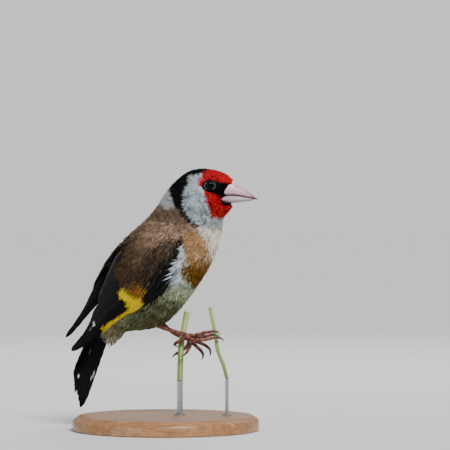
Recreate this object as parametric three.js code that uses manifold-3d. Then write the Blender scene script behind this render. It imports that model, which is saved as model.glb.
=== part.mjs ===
// A European goldfinch, life size, perched on two cut stems over a small display stand.
// Millimetres, +Z up. The origin is the centre of the stand's underside.
// The head is in profile towards +X, and the bird's right side faces -Y.
import * as THREE from 'three';
import { mergeVertices } from 'three/addons/utils/BufferGeometryUtils.js';
import Module from 'manifold-3d';

const wasm = await Module();
wasm.setup();

// Driving dimensions
const cutWidth = 0.3;            // gap where two sub-parts meet
const bodyCentre = new THREE.Vector3(0.8, 0, 68.8);
const bodyYaw = 22;              // degrees, breast towards -Y
const bodyPitch = 49;            // degrees, breast up
const bodyRoll = 18;             // degrees, back towards -Y
const headMidY = -8.2;
const neckStart = 11;            // place of the cut along the spine
const headStart = 89;            // height of the cut under the cheeks
const eyeCentre = { x: 18.0, z: 99.4, offset: 6.5 };
const eyeRadius = 2.65;
const lidRadius = 2.2;
const baseRadius = 38;
const baseHeight = 6;
const mainStem = { radius: 1.2, foot: [5.7, 2.3, 20], cutTop: 48.2 };
const sideStem = { radius: 0.75, foot: [24.9, -0.4, 21.2], cutTop: 50.2 };

// Torso sections in the body's own frame: place along the spine, back, belly, half width
const torsoSections = [
  { at: -51, top: 0.4, bottom: -2.6, half: 1.4 },
  { at: -49, top: 2.2, bottom: -3.8, half: 3.4 },
  { at: -43.5, top: 4.8, bottom: -4.3, half: 5.4 },
  { at: -37, top: 6.8, bottom: -4.9, half: 7.4 },
  { at: -31.5, top: 9.0, bottom: -8.0, half: 9.8 },
  { at: -25, top: 11.6, bottom: -13.6, half: 12.4 },
  { at: -17, top: 14.6, bottom: -16.2, half: 15.0 },
  { at: -8, top: 16.6, bottom: -16.5, half: 16.6 },
  { at: 2, top: 17.7, bottom: -16.0, half: 16.8 },
  { at: 11, top: 17.9, bottom: -14.7, half: 15.6 },
  { at: 18, top: 18.0, bottom: -12.8, half: 13.4 },
  { at: 23.5, top: 18.0, bottom: -10.2, half: 11.4 },
  { at: 28.5, top: 17.2, bottom: -7.2, half: 10.0 },
  { at: 33, top: 14.0, bottom: -4.0, half: 8.0 },
  { at: 36, top: 9.0, bottom: 1.0, half: 4.0 },
];

// Head sections, front to back along X
const headSections = [
  { at: -3.4, top: 91.6, bottom: 87.4, half: 2.6 },
  { at: -2.2, top: 94.0, bottom: 84.0, half: 5.6 },
  { at: 0.8, top: 98.4, bottom: 81.0, half: 8.0 },
  { at: 4.2, top: 102.1, bottom: 80.6, half: 9.2 },
  { at: 8.6, top: 105.6, bottom: 81.0, half: 9.9 },
  { at: 13.4, top: 107.0, bottom: 81.6, half: 10.0 },
  { at: 17.6, top: 106.9, bottom: 82.6, half: 9.5 },
  { at: 21.4, top: 106.2, bottom: 84.4, half: 8.4 },
  { at: 24.6, top: 104.9, bottom: 87.2, half: 6.8 },
  { at: 26.8, top: 103.2, bottom: 89.8, half: 5.2 },
  { at: 28.0, top: 101.4, bottom: 91.6, half: 3.6 },
  { at: 28.5, top: 99.6, bottom: 93.4, half: 2.0 },
];

// Bill sections: the ridge above, the cutting edge or the underside, half width
const upperBillSections = [
  { at: 22.4, top: 101.4, bottom: 95.0, half: 3.4 },
  { at: 25.0, top: 101.6, bottom: 95.5, half: 3.5 },
  { at: 27.6, top: 101.2, bottom: 95.8, half: 3.2 },
  { at: 30.4, top: 99.6, bottom: 95.7, half: 2.5 },
  { at: 33.4, top: 97.5, bottom: 95.2, half: 1.6 },
  { at: 36.0, top: 95.4, bottom: 94.4, half: 0.75 },
  { at: 37.6, top: 94.1, bottom: 93.8, half: 0.2 },
];
const lowerBillSections = [
  { at: 22.4, top: 94.6, bottom: 92.4, half: 2.9 },
  { at: 25.0, top: 95.1, bottom: 91.9, half: 3.1 },
  { at: 27.6, top: 95.4, bottom: 91.9, half: 2.8 },
  { at: 30.4, top: 95.3, bottom: 92.3, half: 2.1 },
  { at: 33.4, top: 94.8, bottom: 93.0, half: 1.3 },
  { at: 35.4, top: 94.2, bottom: 93.5, half: 0.6 },
  { at: 36.6, top: 93.8, bottom: 93.6, half: 0.2 },
];

// Wing ribs in the body's frame: place along the spine, then outward and dorsal distance of
// the leading edge, the crest and the inner edge, and the depth of flesh and coverts inside
const rightWingRibs = [
  { at: 16.5, lead: [13.6, 4.6], crest: [14.0, 6.6], inner: [13.2, 8.6], depth: 1.6 },
  { at: 14, lead: [15.4, 1.6], crest: [16.2, 7.0], inner: [12.2, 13.6], depth: 3.2 },
  { at: 8, lead: [17.2, -2.4], crest: [18.3, 8.2], inner: [9.0, 17.9], depth: 4.6 },
  { at: -2, lead: [17.8, -5.6], crest: [18.9, 8.0], inner: [5.8, 19.0], depth: 4.8 },
  { at: -10, lead: [17.2, -6.0], crest: [18.2, 7.4], inner: [4.4, 18.4], depth: 4.0 },
  { at: -18, lead: [16.2, -3.0], crest: [16.4, 6.8], inner: [3.8, 16.4], depth: 2.6 },
  { at: -28, lead: [13.0, -0.2], crest: [13.2, 6.9], inner: [3.0, 14.2], depth: 1.5 },
  { at: -38, lead: [9.2, 2.2], crest: [9.4, 6.8], inner: [2.6, 12.0], depth: 1.1 },
  { at: -48, lead: [5.2, 5.2], crest: [5.3, 7.7], inner: [1.8, 10.6], depth: 0.9 },
  { at: -56, lead: [1.6, 7.7], crest: [1.7, 8.3], inner: [1.2, 8.9], depth: 0.7 },
];
const leftWingRibs = [
  { at: 16.5, lead: [13.6, 4.6], crest: [14.0, 6.6], inner: [13.2, 8.6], depth: 1.6 },
  { at: 14, lead: [15.4, 1.6], crest: [16.2, 7.0], inner: [12.2, 13.6], depth: 3.2 },
  { at: 8, lead: [17.2, -1.6], crest: [18.0, 8.0], inner: [9.0, 17.8], depth: 4.6 },
  { at: -2, lead: [18.6, -1.4], crest: [18.0, 10.6], inner: [5.6, 19.6], depth: 5.2 },
  { at: -10, lead: [18.8, 1.6], crest: [16.6, 12.8], inner: [4.0, 20.0], depth: 4.8 },
  { at: -18, lead: [17.8, 6.0], crest: [14.6, 14.6], inner: [3.2, 19.4], depth: 3.6 },
  { at: -28, lead: [15.8, 10.4], crest: [12.0, 15.6], inner: [3.4, 17.8], depth: 1.8 },
  { at: -38, lead: [13.6, 12.0], crest: [10.2, 14.8], inner: [4.4, 15.6], depth: 1.2 },
  { at: -48, lead: [11.0, 12.8], crest: [9.0, 14.2], inner: [6.0, 14.4], depth: 0.9 },
  { at: -54, lead: [8.9, 13.4], crest: [8.6, 13.8], inner: [8.0, 13.9], depth: 0.7 },
];

// Tail: the tip of the longest feather, the direction of the shafts and the roof of the halves
const tail = {
  longTip: new THREE.Vector3(-36.5, 17.4, 8.2),
  along: new THREE.Vector3(-0.4, 0.24, -0.885).normalize(),
  roll: 19,
  roof: 35,
  length: 38,
  halfRoot: 5.2,
  halfTip: 8.6,
  fork: 9.4,
  depth: 1.7,
  pairs: 6,
  vaneHalf: 1.9,
};

// Feathers: share of the length and of the width at each row, for long and for short ones
const vaneThickness = 0.55;
const vaneTilt = 0.09;
const longVane = [[0, 0.7], [0.5, 1], [0.88, 0.84], [1, 0.2]];
const shortVane = [[0, 0.9], [0.75, 1], [1, 0.3]];
const fleshEnd = -24;            // place along the spine where the solid front ends

// Tiers of wing feathers, outermost or foremost first: places along the spine, shares across
// the wing from its leading edge, half width and height over the sheet
const wingTiers = [
  { count: 9, rootPlace: [-10, -16], rootOver: [0.05, 0.6], tipPlace: [-55.4, -37],
    tipOver: [0.35, 0.8], half: [2.2, 3.0], lift: [-0.5, -0.2], shape: longVane },
  { count: 4, rootPlace: [-12, -12], rootOver: [0.5, 0.8], tipPlace: [-35, -30],
    tipOver: [0.6, 0.82], half: [3.0, 3.2], lift: [0.1, 0.3], shape: longVane },
  { count: 3, rootPlace: [-8, -6], rootOver: [0.8, 0.86], tipPlace: [-29, -21],
    tipOver: [0.85, 0.88], half: [3.2, 3.2], lift: [0.45, 0.75], shape: longVane },
  { count: 3, rootPlace: [4, 2], rootOver: [0.07, 0.26], tipPlace: [-22, -17],
    tipOver: [0.08, 0.3], half: [2.1, 2.3], lift: [0.15, 0.3], shape: shortVane },
  { count: 6, rootPlace: [2, 2], rootOver: [0.32, 0.86], tipPlace: [-15, -15],
    tipOver: [0.38, 0.88], half: [2.6, 2.6], lift: [0.5, 0.9], shape: shortVane },
];

const rad = THREE.MathUtils.degToRad;

// The body's frame: spine towards the head, the bird's left, and its back
function makeBodyFrame() {
  const yaw = rad(bodyYaw);
  const pitch = rad(bodyPitch);
  const forward = new THREE.Vector3(
    Math.cos(pitch) * Math.cos(yaw), -Math.cos(pitch) * Math.sin(yaw), Math.sin(pitch));
  const level = new THREE.Vector3(Math.sin(yaw), Math.cos(yaw), 0);
  const left = level.applyAxisAngle(forward, rad(bodyRoll));
  const back = new THREE.Vector3().crossVectors(forward, left);
  return new THREE.Matrix4().makeBasis(forward, left, back).setPosition(bodyCentre);
}

const bodyFrame = makeBodyFrame();
const v = (x, y, z) => new THREE.Vector3(x, y, z);
const inBody = (u, side, up) => v(u, side, up).applyMatrix4(bodyFrame);

// A closed surface over rings of equal length, each end closed by a fan to its middle
function skinRings(rings) {
  const count = rings[0].length;
  const points = rings.flat();
  const faces = [];
  for (let r = 0; r < rings.length - 1; r += 1) {
    for (let i = 0; i < count; i += 1) {
      const a = r * count + i;
      const b = r * count + ((i + 1) % count);
      const c = a + count;
      const d = b + count;
      faces.push(a, b, c, b, d, c);
    }
  }
  for (const [ring, turn] of [[0, true], [rings.length - 1, false]]) {
    const middle = points.length;
    const centre = v(0, 0, 0);
    rings[ring].forEach((p) => centre.addScaledVector(p, 1 / count));
    points.push(centre);
    for (let i = 0; i < count; i += 1) {
      const a = ring * count + i;
      const b = ring * count + ((i + 1) % count);
      faces.push(...(turn ? [b, a, middle] : [a, b, middle]));
    }
  }
  return outward(points, faces);
}

// A thin body between two grids of points with the same diagonals on both faces
function slab(upper, lower) {
  const rows = upper.length;
  const columns = upper[0].length;
  const points = [...upper.flat(), ...lower.flat()];
  const under = rows * columns;
  const faces = [];
  const at = (r, c) => r * columns + c;
  for (let r = 0; r < rows - 1; r += 1) {
    for (let c = 0; c < columns - 1; c += 1) {
      const [p, q, s, t] = [at(r, c), at(r, c + 1), at(r + 1, c), at(r + 1, c + 1)];
      faces.push(p, q, t, p, t, s);
      faces.push(under + p, under + t, under + q, under + p, under + s, under + t);
    }
  }
  const rim = [];
  for (let c = 0; c < columns - 1; c += 1) rim.push(at(0, c));
  for (let r = 0; r < rows - 1; r += 1) rim.push(at(r, columns - 1));
  for (let c = columns - 1; c > 0; c -= 1) rim.push(at(rows - 1, c));
  for (let r = rows - 1; r > 0; r -= 1) rim.push(at(r, 0));
  rim.forEach((p, i) => {
    const q = rim[(i + 1) % rim.length];
    faces.push(q, p, under + p, q, under + p, under + q);
  });
  return outward(points, faces);
}

// Turns the faces round where the body they enclose would be inside out
function outward(points, faces) {
  let volume = 0;
  const normal = v(0, 0, 0);
  for (let i = 0; i < faces.length; i += 3) {
    normal.crossVectors(points[faces[i + 1]], points[faces[i + 2]]);
    volume += points[faces[i]].dot(normal);
  }
  if (volume < 0) {
    for (let i = 0; i < faces.length; i += 3) {
      [faces[i + 1], faces[i + 2]] = [faces[i + 2], faces[i + 1]];
    }
  }
  const geometry = new THREE.BufferGeometry().setFromPoints(points);
  geometry.setIndex(faces);
  return geometry;
}

function solid(geometry) {
  const bare = geometry.clone();
  bare.deleteAttribute('normal');
  bare.deleteAttribute('uv');
  const merged = mergeVertices(bare, 1e-4);
  return new wasm.Manifold(new wasm.Mesh({
    numProp: 3,
    vertProperties: new Float32Array(merged.attributes.position.array),
    triVerts: new Uint32Array(merged.index.array),
  }));
}

// The largest closed surface of a solid that a cut or a join may have left in pieces
function largest(body) {
  const pieces = body.decompose();
  return pieces.reduce((best, piece) => (piece.volume() > best.volume() ? piece : best));
}

function joined(bodies) {
  return bodies.reduce((sum, body) => sum.add(body));
}

function geometryOf(body) {
  const mesh = body.getMesh();
  const geometry = new THREE.BufferGeometry();
  geometry.setAttribute('position', new THREE.BufferAttribute(new Float32Array(mesh.vertProperties), 3));
  geometry.setIndex(new THREE.BufferAttribute(new Uint32Array(mesh.triVerts), 1));
  geometry.computeVertexNormals();
  return geometry;
}

// Rings of an egg-shaped section through smooth sizes, placed by a function
function sectionRings(sections, steps, sides, grow, place) {
  const places = sections.map((s) => s.at);
  const sizes = sections.flatMap((s) => [s.top, s.bottom, s.half]);
  const smooth = new THREE.CubicInterpolant(places, sizes, 3, new Float64Array(3));
  const first = places[0];
  const span = places[places.length - 1] - first;
  const rings = [];
  for (let i = 0; i <= steps; i += 1) {
    const even = i / steps;
    const share = 0.5 * even + 0.25 * (1 - Math.cos(Math.PI * even));
    const at = first + span * share;
    const [top, bottom, half] = smooth.evaluate(at);
    const middle = (top + bottom) / 2;
    const tall = Math.abs(top - bottom) / 2 + grow;
    const reach = at + grow * (2 * share - 1);
    const ring = [];
    for (let k = 0; k < sides; k += 1) {
      const turn = (2 * Math.PI * k) / sides;
      ring.push(place(reach, (half + grow) * Math.sin(turn), middle + tall * Math.cos(turn)));
    }
    rings.push(ring);
  }
  return rings;
}

const torsoSolid = (grow) => solid(skinRings(sectionRings(torsoSections, 26, 26, grow, inBody)));
const headPlace = (x, y, z) => v(x, headMidY + y, z);
const headSolid = (grow) => solid(skinRings(sectionRings(headSections, 18, 26, grow, headPlace)));
const billSolid = (sections, grow) => (
  solid(skinRings(sectionRings(sections, 8, 14, grow, headPlace))));

// A round limb through points with a radius at each, in even steps
function limb(points, radii, steps, sides) {
  const curve = new THREE.CatmullRomCurve3(points.map((p) => v(...p)));
  const frames = curve.computeFrenetFrames(steps, false);
  const rings = [];
  for (let i = 0; i <= steps; i += 1) {
    const share = i / steps;
    const slot = share * (radii.length - 1);
    const lower = Math.min(Math.floor(slot), radii.length - 2);
    const radius = THREE.MathUtils.lerp(radii[lower], radii[lower + 1], slot - lower);
    const centre = curve.getPointAt(share);
    const ring = [];
    for (let k = 0; k < sides; k += 1) {
      const turn = (2 * Math.PI * k) / sides;
      ring.push(centre.clone()
        .addScaledVector(frames.normals[i], radius * Math.cos(turn))
        .addScaledVector(frames.binormals[i], radius * Math.sin(turn)));
    }
    rings.push(ring);
  }
  return skinRings(rings);
}

// A thin plate used as a cut through the whole body
function cutPlate(centre, facing) {
  const plate = new THREE.BoxGeometry(60, 60, cutWidth);
  const turn = new THREE.Quaternion().setFromUnitVectors(v(0, 0, 1), facing.clone().normalize());
  plate.applyQuaternion(turn);
  plate.translate(centre.x, centre.y, centre.z);
  return solid(plate);
}

// Where a solid's middle lies
function middleOf(body) {
  const box = body.boundingBox();
  return v(...box.min).add(v(...box.max)).multiplyScalar(0.5);
}

// Eyes: a ball in a socket, with a raised rim of lid on the head
function eyeBall(side, radius) {
  const ball = new THREE.SphereGeometry(radius, 16, 10);
  ball.translate(eyeCentre.x, headMidY + side * eyeCentre.offset, eyeCentre.z);
  return solid(ball);
}

function eyeLid(side) {
  const rim = new THREE.TorusGeometry(lidRadius, 0.42, 5, 16);
  rim.rotateX(Math.PI / 2);
  rim.scale(1.06, 1.5, 0.96);
  rim.translate(eyeCentre.x, headMidY + side * 8.35, eyeCentre.z);
  return solid(rim);
}

// Flesh of head, neck and torso: one whole, then parted by two thin cuts
const whole = largest(joined([torsoSolid(0), headSolid(0), eyeLid(1), eyeLid(-1)]));
const neckCut = cutPlate(inBody(neckStart, 0, 2), bodyFrameAxis(0));
const headCut = cutPlate(v(10.5, headMidY, headStart), v(0.14, 0, 1));
const pieces = whole.subtract(neckCut).subtract(headCut).decompose()
  .filter((piece) => piece.volume() > 20)
  .sort((a, b) => middleOf(a).z - middleOf(b).z);
const [torsoFlesh, neckFlesh, headFlesh] = pieces;

function bodyFrameAxis(index) {
  const axis = v(0, 0, 0);
  axis.setFromMatrixColumn(bodyFrame, index);
  return axis;
}

// Bill: upper and lower half with the line of the mouth between, nostrils cut at the base
const billUpper = billSolid(upperBillSections, 0);
const billLower = billSolid(lowerBillSections, 0)
  .subtract(billSolid(upperBillSections, cutWidth));
const billRoom = joined([
  billSolid(upperBillSections, cutWidth),
  billSolid(lowerBillSections, cutWidth),
]);

function nostril(side) {
  const pit = new THREE.SphereGeometry(0.55, 10, 8);
  pit.scale(1.5, 1, 1);
  pit.translate(28.9, headMidY + side * 2.55, 98.9);
  return solid(pit);
}

function makeHead() {
  let head = headFlesh.subtract(billRoom);
  for (const side of [1, -1]) head = head.subtract(eyeBall(side, eyeRadius + cutWidth));
  return largest(head);
}

// Wing sheet: a point on its outer face for a place along and a share across
function wingSheet(ribs, side) {
  const rows = ['lead', 'crest', 'inner'].map((edge) => new THREE.CatmullRomCurve3(
    ribs.map((rib) => v(rib.at, side * rib[edge][0], rib[edge][1])), false, 'centripetal'));
  const depth = new THREE.CubicInterpolant(
    ribs.map((rib) => -rib.at), ribs.map((rib) => rib.depth), 1, new Float64Array(1));
  return (along, across) => {
    const [lead, crest, inner] = rows.map((row) => row.getPoint(along));
    const bend = new THREE.CatmullRomCurve3([lead, crest, inner], false, 'centripetal');
    const point = bend.getPoint(across);
    return { point, depth: depth.evaluate(-point.x)[0] };
  };
}

// The inward direction on the sheet, taken from its neighbours
function inwardOf(sheet, along, across, side) {
  const step = 0.01;
  const low = (x) => Math.max(x - step, 0);
  const high = (x) => Math.min(x + step, 1);
  const lengthwise = sheet(high(along), across).point.sub(sheet(low(along), across).point);
  const crosswise = sheet(along, high(across)).point.sub(sheet(along, low(across)).point);
  return lengthwise.cross(crosswise).normalize().multiplyScalar(-side);
}

// Where along the sheet a place on the spine lies
function alongAt(ribs, place) {
  const last = ribs.length - 1;
  const next = ribs.findIndex((rib) => rib.at <= place);
  if (next < 0) return 1;
  if (next === 0) return 0;
  const [before, after] = [ribs[next - 1].at, ribs[next].at];
  return (next - 1 + (before - place) / (before - after)) / last;
}

// A feather as a thin plate of three columns, from rows of centre, across and up
function vane(rows) {
  const upper = [];
  const lower = [];
  for (const { centre, across, up, half, tilt } of rows) {
    const top = [-1, 0, 1].map((x) => centre.clone()
      .addScaledVector(across, x * half)
      .addScaledVector(up, tilt * x * half - 0.12 * Math.abs(x)));
    upper.push(top);
    lower.push(top.map((p) => p.clone().addScaledVector(up, -vaneThickness)));
  }
  return slab(upper, lower);
}

function wingVane(ribs, sheet, side, { root, tip, half, lift, shape }) {
  const rows = shape.map(([share, width]) => {
    const along = alongAt(ribs, THREE.MathUtils.lerp(root[0], tip[0], share));
    const over = THREE.MathUtils.lerp(root[1], tip[1], share);
    const up = inwardOf(sheet, along, over, side).negate();
    const ahead = sheet(Math.min(along + 0.02, 1), over).point;
    const shaft = ahead.sub(sheet(Math.max(along - 0.02, 0), over).point).normalize();
    const across = new THREE.Vector3().crossVectors(up, shaft).multiplyScalar(side).normalize();
    const centre = sheet(along, over).point.addScaledVector(up, lift);
    return { centre, across, up, half: half * width, tilt: vaneTilt };
  });
  const plate = vane(rows);
  plate.applyMatrix4(bodyFrame);
  return solid(plate);
}

// The solid front of a wing, with the muscle and the small coverts over it
function wingFlesh(ribs, sheet, side) {
  const lengthSteps = 11;
  const crossSteps = 6;
  const end = alongAt(ribs, fleshEnd);
  const upper = [];
  const lower = [];
  for (let i = 0; i <= lengthSteps; i += 1) {
    const outerRow = [];
    const innerRow = [];
    for (let k = 0; k <= crossSteps; k += 1) {
      const along = (end * i) / lengthSteps;
      const across = k / crossSteps;
      const { point, depth } = sheet(along, across);
      const inward = inwardOf(sheet, along, across, side);
      const edge = 0.35 + 0.65 * Math.sin(Math.PI * across);
      outerRow.push(point.clone());
      innerRow.push(point.clone().addScaledVector(inward, depth * edge));
    }
    upper.push(outerRow);
    lower.push(innerRow);
  }
  const toWorld = (grid) => grid.map((row) => row.map((p) => p.applyMatrix4(bodyFrame)));
  return solid(slab(toWorld(upper), toWorld(lower)));
}

function makeWing(ribs, side) {
  const sheet = wingSheet(ribs, side);
  const parts = [wingFlesh(ribs, sheet, side)];
  for (const tier of wingTiers) {
    for (let i = 0; i < tier.count; i += 1) {
      const share = tier.count > 1 ? i / (tier.count - 1) : 0;
      const between = (pair) => THREE.MathUtils.lerp(pair[0], pair[1], share);
      parts.push(wingVane(ribs, sheet, side, {
        root: [between(tier.rootPlace), between(tier.rootOver)],
        tip: [between(tier.tipPlace), between(tier.tipOver)],
        half: between(tier.half),
        lift: between(tier.lift),
        shape: tier.shape,
      }));
    }
  }
  return joined(parts);
}

// Tail: two halves as a low roof over the shafts' direction
function tailFrame() {
  const across = new THREE.Vector3(0, 1, 0);
  across.addScaledVector(tail.along, -across.dot(tail.along)).normalize();
  across.applyAxisAngle(tail.along, -rad(tail.roll));
  const up = new THREE.Vector3().crossVectors(across, tail.along).normalize();
  return { across, up };
}

// The tail's ridge line at the level of the longest feather's tip
function tailRidge(across, up, roofRise) {
  const tipSide = tail.halfTip * (1 - 0.5 / tail.pairs);
  return tail.longTip.clone()
    .addScaledVector(across, tipSide)
    .addScaledVector(up, tipSide * roofRise);
}

// The room that the tail takes, for whatever lies beside it
function tailEnvelope(grow) {
  const { across, up } = tailFrame();
  const roofRise = Math.tan(rad(tail.roof));
  const ridge = tailRidge(across, up, roofRise);
  const rows = 6;
  const columns = 4;
  const upper = [];
  const lower = [];
  for (let r = 0; r <= rows; r += 1) {
    const outerRow = [];
    const innerRow = [];
    for (let c = 0; c <= columns; c += 1) {
      const share = r / rows;
      const side = (2 * c) / columns - 1;
      const half = THREE.MathUtils.lerp(tail.halfRoot, tail.halfTip, share) + 1 + grow;
      const forked = tail.fork * (1 - Math.abs(side)) * share;
      const point = ridge.clone()
        .addScaledVector(tail.along, -tail.length * (1 - share) - forked)
        .addScaledVector(across, side * half)
        .addScaledVector(up, -Math.abs(side * half) * roofRise);
      outerRow.push(point.clone().addScaledVector(up, grow));
      innerRow.push(point.clone().addScaledVector(up, -tail.depth - grow));
    }
    upper.push(outerRow);
    lower.push(innerRow);
  }
  return solid(slab(upper, lower));
}

function makeTail() {
  const { across, up } = tailFrame();
  const roofRise = Math.tan(rad(tail.roof));
  const ridge = tailRidge(across, up, roofRise);
  const feathers = [];
  for (const side of [-1, 1]) {
    for (let i = 0; i < tail.pairs; i += 1) {
      const share = (i + 0.5) / tail.pairs;
      const reach = tail.fork * (1 - i / (tail.pairs - 1));
      const slope = new THREE.Vector3().copy(across).addScaledVector(up, -side * roofRise).normalize();
      const face = new THREE.Vector3().crossVectors(slope, tail.along).normalize();
      const rows = longVane.map(([step, width]) => {
        const half = THREE.MathUtils.lerp(tail.halfRoot, tail.halfTip, step);
        const centre = ridge.clone()
          .addScaledVector(tail.along, -(tail.length - (tail.length - reach) * step))
          .addScaledVector(across, side * half * share)
          .addScaledVector(up, -half * share * roofRise)
          .addScaledVector(face, -0.11 * i);
        return {
          centre, across: slope, up: face, half: tail.vaneHalf * width, tilt: -side * 0.05,
        };
      });
      feathers.push(solid(vane(rows)));
    }
  }
  return joined(feathers);
}

// Legs and toes: points of the bare leg and of each toe, the last stretch being the claw
const legs = {
  right: {
    tarsus: [[-7, 2.0, 45.2], [-2.4, 0.9, 42.2], [3, -0.2, 40.5], [7.7, -0.9, 39.0]],
    toes: [
      { points: [[8.4, -1.0, 38.7], [12, -1.9, 38.9], [15.9, -2.5, 39.9], [19.2, -2.6, 40.4]],
        claw: [[19.6, -2.6, 40.4], [21.2, -2.5, 40.2], [22.2, -2.1, 39.0]] },
      { points: [[8.4, -1.0, 38.5], [11.6, -2.2, 36.9], [15.9, -2.9, 37.1], [20.4, -2.7, 38.0]],
        claw: [[20.8, -2.7, 37.9], [22.7, -2.3, 37.5], [23.7, -1.7, 36.1]] },
      { points: [[8.4, -1.0, 38.6], [11.8, 0.4, 37.9], [15.4, 1.2, 38.2], [19.0, 1.5, 38.9]],
        claw: [[19.4, 1.5, 38.9], [21.1, 1.3, 38.6], [22.1, 0.7, 37.6]] },
      { points: [[8.3, -1.0, 38.6], [6.6, -1.1, 37.0], [4.2, 0.2, 35.6], [3.4, 2.4, 34.8]],
        claw: [[3.4, 2.8, 34.7], [3.9, 4.3, 34.2], [5.2, 5.2, 33.6]] },
    ],
  },
  left: {
    tarsus: [[-4, 11.4, 45.2], [-0.4, 10.2, 42.0], [3.6, 8.2, 38.9], [9.0, 5.2, 36.9]],
    toes: [
      { points: [[9.6, 5.0, 36.5], [11.4, 4.0, 34.9], [13.9, 2.6, 32.7], [15.2, 1.8, 31.0]],
        claw: [[15.2, 1.6, 30.6], [15.0, 1.3, 29.4], [14.0, 1.1, 28.6]] },
      { points: [[9.6, 5.0, 36.5], [12.6, 5.6, 35.8], [15.6, 5.6, 34.6], [17.8, 4.8, 33.0]],
        claw: [[17.9, 4.7, 32.6], [18.2, 4.2, 31.1], [17.6, 3.5, 30.1]] },
      { points: [[9.6, 5.0, 36.5], [8.6, 5.8, 34.2], [6.2, 5.8, 32.0], [4.0, 4.6, 30.9]],
        claw: [[3.7, 4.3, 30.8], [2.9, 2.9, 30.1], [3.3, 1.2, 29.6]] },
      { points: [[9.6, 5.0, 36.5], [9.9, 3.0, 34.6], [9.0, 1.2, 32.8], [8.4, -0.2, 31.6]],
        claw: [[8.2, -0.4, 31.4], [7.2, -1.0, 30.6], [5.8, -0.9, 30.0]] },
    ],
  },
};
const toeRadii = [0.95, 0.75, 0.72, 0.6];
const clawRadii = [0.48, 0.34, 0.1];
const tarsusRadii = [1.5, 0.85, 0.78, 0.9];

function makeTarsus(side) {
  return solid(limb(legs[side].tarsus, tarsusRadii, 8, 10));
}

function makeFoot(side) {
  const { toes } = legs[side];
  const knuckle = new THREE.SphereGeometry(1.15, 10, 8);
  knuckle.translate(...toes[0].points[0]);
  return joined([solid(knuckle), ...toes.map((toe) => solid(limb(toe.points, toeRadii, 7, 8)))]);
}

function makeClaw(toe) {
  return solid(limb(toe.claw, clawRadii, 5, 8));
}

// Stems: level rings, so that both ends are flat
function makeStem(points, radius) {
  const curve = new THREE.CatmullRomCurve3(points.map((p) => v(...p)));
  const steps = 10;
  const sides = 12;
  const rings = [];
  for (let i = 0; i <= steps; i += 1) {
    const centre = curve.getPointAt(i / steps);
    const ring = [];
    for (let k = 0; k < sides; k += 1) {
      const turn = (2 * Math.PI * k) / sides;
      ring.push(v(centre.x + radius * Math.cos(turn), centre.y + radius * Math.sin(turn), centre.z));
    }
    rings.push(ring);
  }
  return solid(skinRings(rings));
}

const mainStemPoints = [
  mainStem.foot, [5.9, 2.3, 28], [6.4, 2.3, 36], [7.6, 2.3, 43], [8.6, 2.3, mainStem.cutTop],
];
const sideStemPoints = [
  sideStem.foot, [23.5, -0.4, 26.5], [21.2, -0.4, 32.5], [20.4, -0.4, 38],
  [19.5, -0.4, 43], [18.0, -0.4, sideStem.cutTop],
];

// Stand: a flat disc and a short rod under each stem
function makeRod(stem) {
  const [x, y, top] = stem.foot;
  const rod = new THREE.CylinderGeometry(stem.radius, stem.radius, top - baseHeight, 20);
  rod.rotateX(Math.PI / 2);
  rod.translate(x, y, (top + baseHeight) / 2);
  return solid(rod);
}

function makeBase() {
  const edge = 1.2;
  const profile = [
    new THREE.Vector2(0, 0),
    new THREE.Vector2(baseRadius, 0),
    new THREE.Vector2(baseRadius, baseHeight - edge),
    new THREE.Vector2(baseRadius - edge, baseHeight),
    new THREE.Vector2(0, baseHeight),
  ];
  const disc = new THREE.LatheGeometry(profile, 64);
  disc.rotateX(Math.PI / 2);
  return solid(outwardOf(disc));
}

function outwardOf(geometry) {
  const bare = geometry.clone();
  bare.deleteAttribute('normal');
  bare.deleteAttribute('uv');
  const merged = mergeVertices(bare, 1e-4);
  const place = merged.attributes.position;
  const points = [];
  for (let i = 0; i < place.count; i += 1) points.push(v(place.getX(i), place.getY(i), place.getZ(i)));
  const faces = [];
  const index = merged.index.array;
  for (let i = 0; i < index.length; i += 3) {
    const [a, b, c] = [index[i], index[i + 1], index[i + 2]];
    if (a !== b && b !== c && a !== c) faces.push(a, b, c);
  }
  return outward(points, faces);
}

// Materials
const paint = (color, roughness, metalness = 0) => (
  new THREE.MeshStandardMaterial({ color, roughness, metalness }));
const materials = {
  body: paint(0x8f7458, 0.9),
  head: paint(0xc9d0d2, 0.9),
  wing: paint(0x17151a, 0.6),
  tail: paint(0x141317, 0.6),
  bill: paint(0xe2c8c6, 0.45),
  eye: paint(0x0b0808, 0.08),
  leg: paint(0x6e2c22, 0.55),
  claw: paint(0x3a201b, 0.4),
  stem: paint(0x7e9a55, 0.7),
  wood: paint(0x7a5236, 0.5),
  metal: paint(0xb9bcc0, 0.3, 1),
};

const goldfinch = new THREE.Group();
const bird = new THREE.Group();
const perch = new THREE.Group();
const stand = new THREE.Group();
goldfinch.add(bird, perch, stand);

function addNode(group, name, body, material) {
  const mesh = new THREE.Mesh(geometryOf(body), material);
  mesh.name = name;
  group.add(mesh);
}

const torsoRoom = joined([torsoSolid(cutWidth), headSolid(cutWidth)]);
const tailBody = largest(makeTail().subtract(torsoSolid(cutWidth)));
const tailRoom = tailEnvelope(cutWidth);

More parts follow.
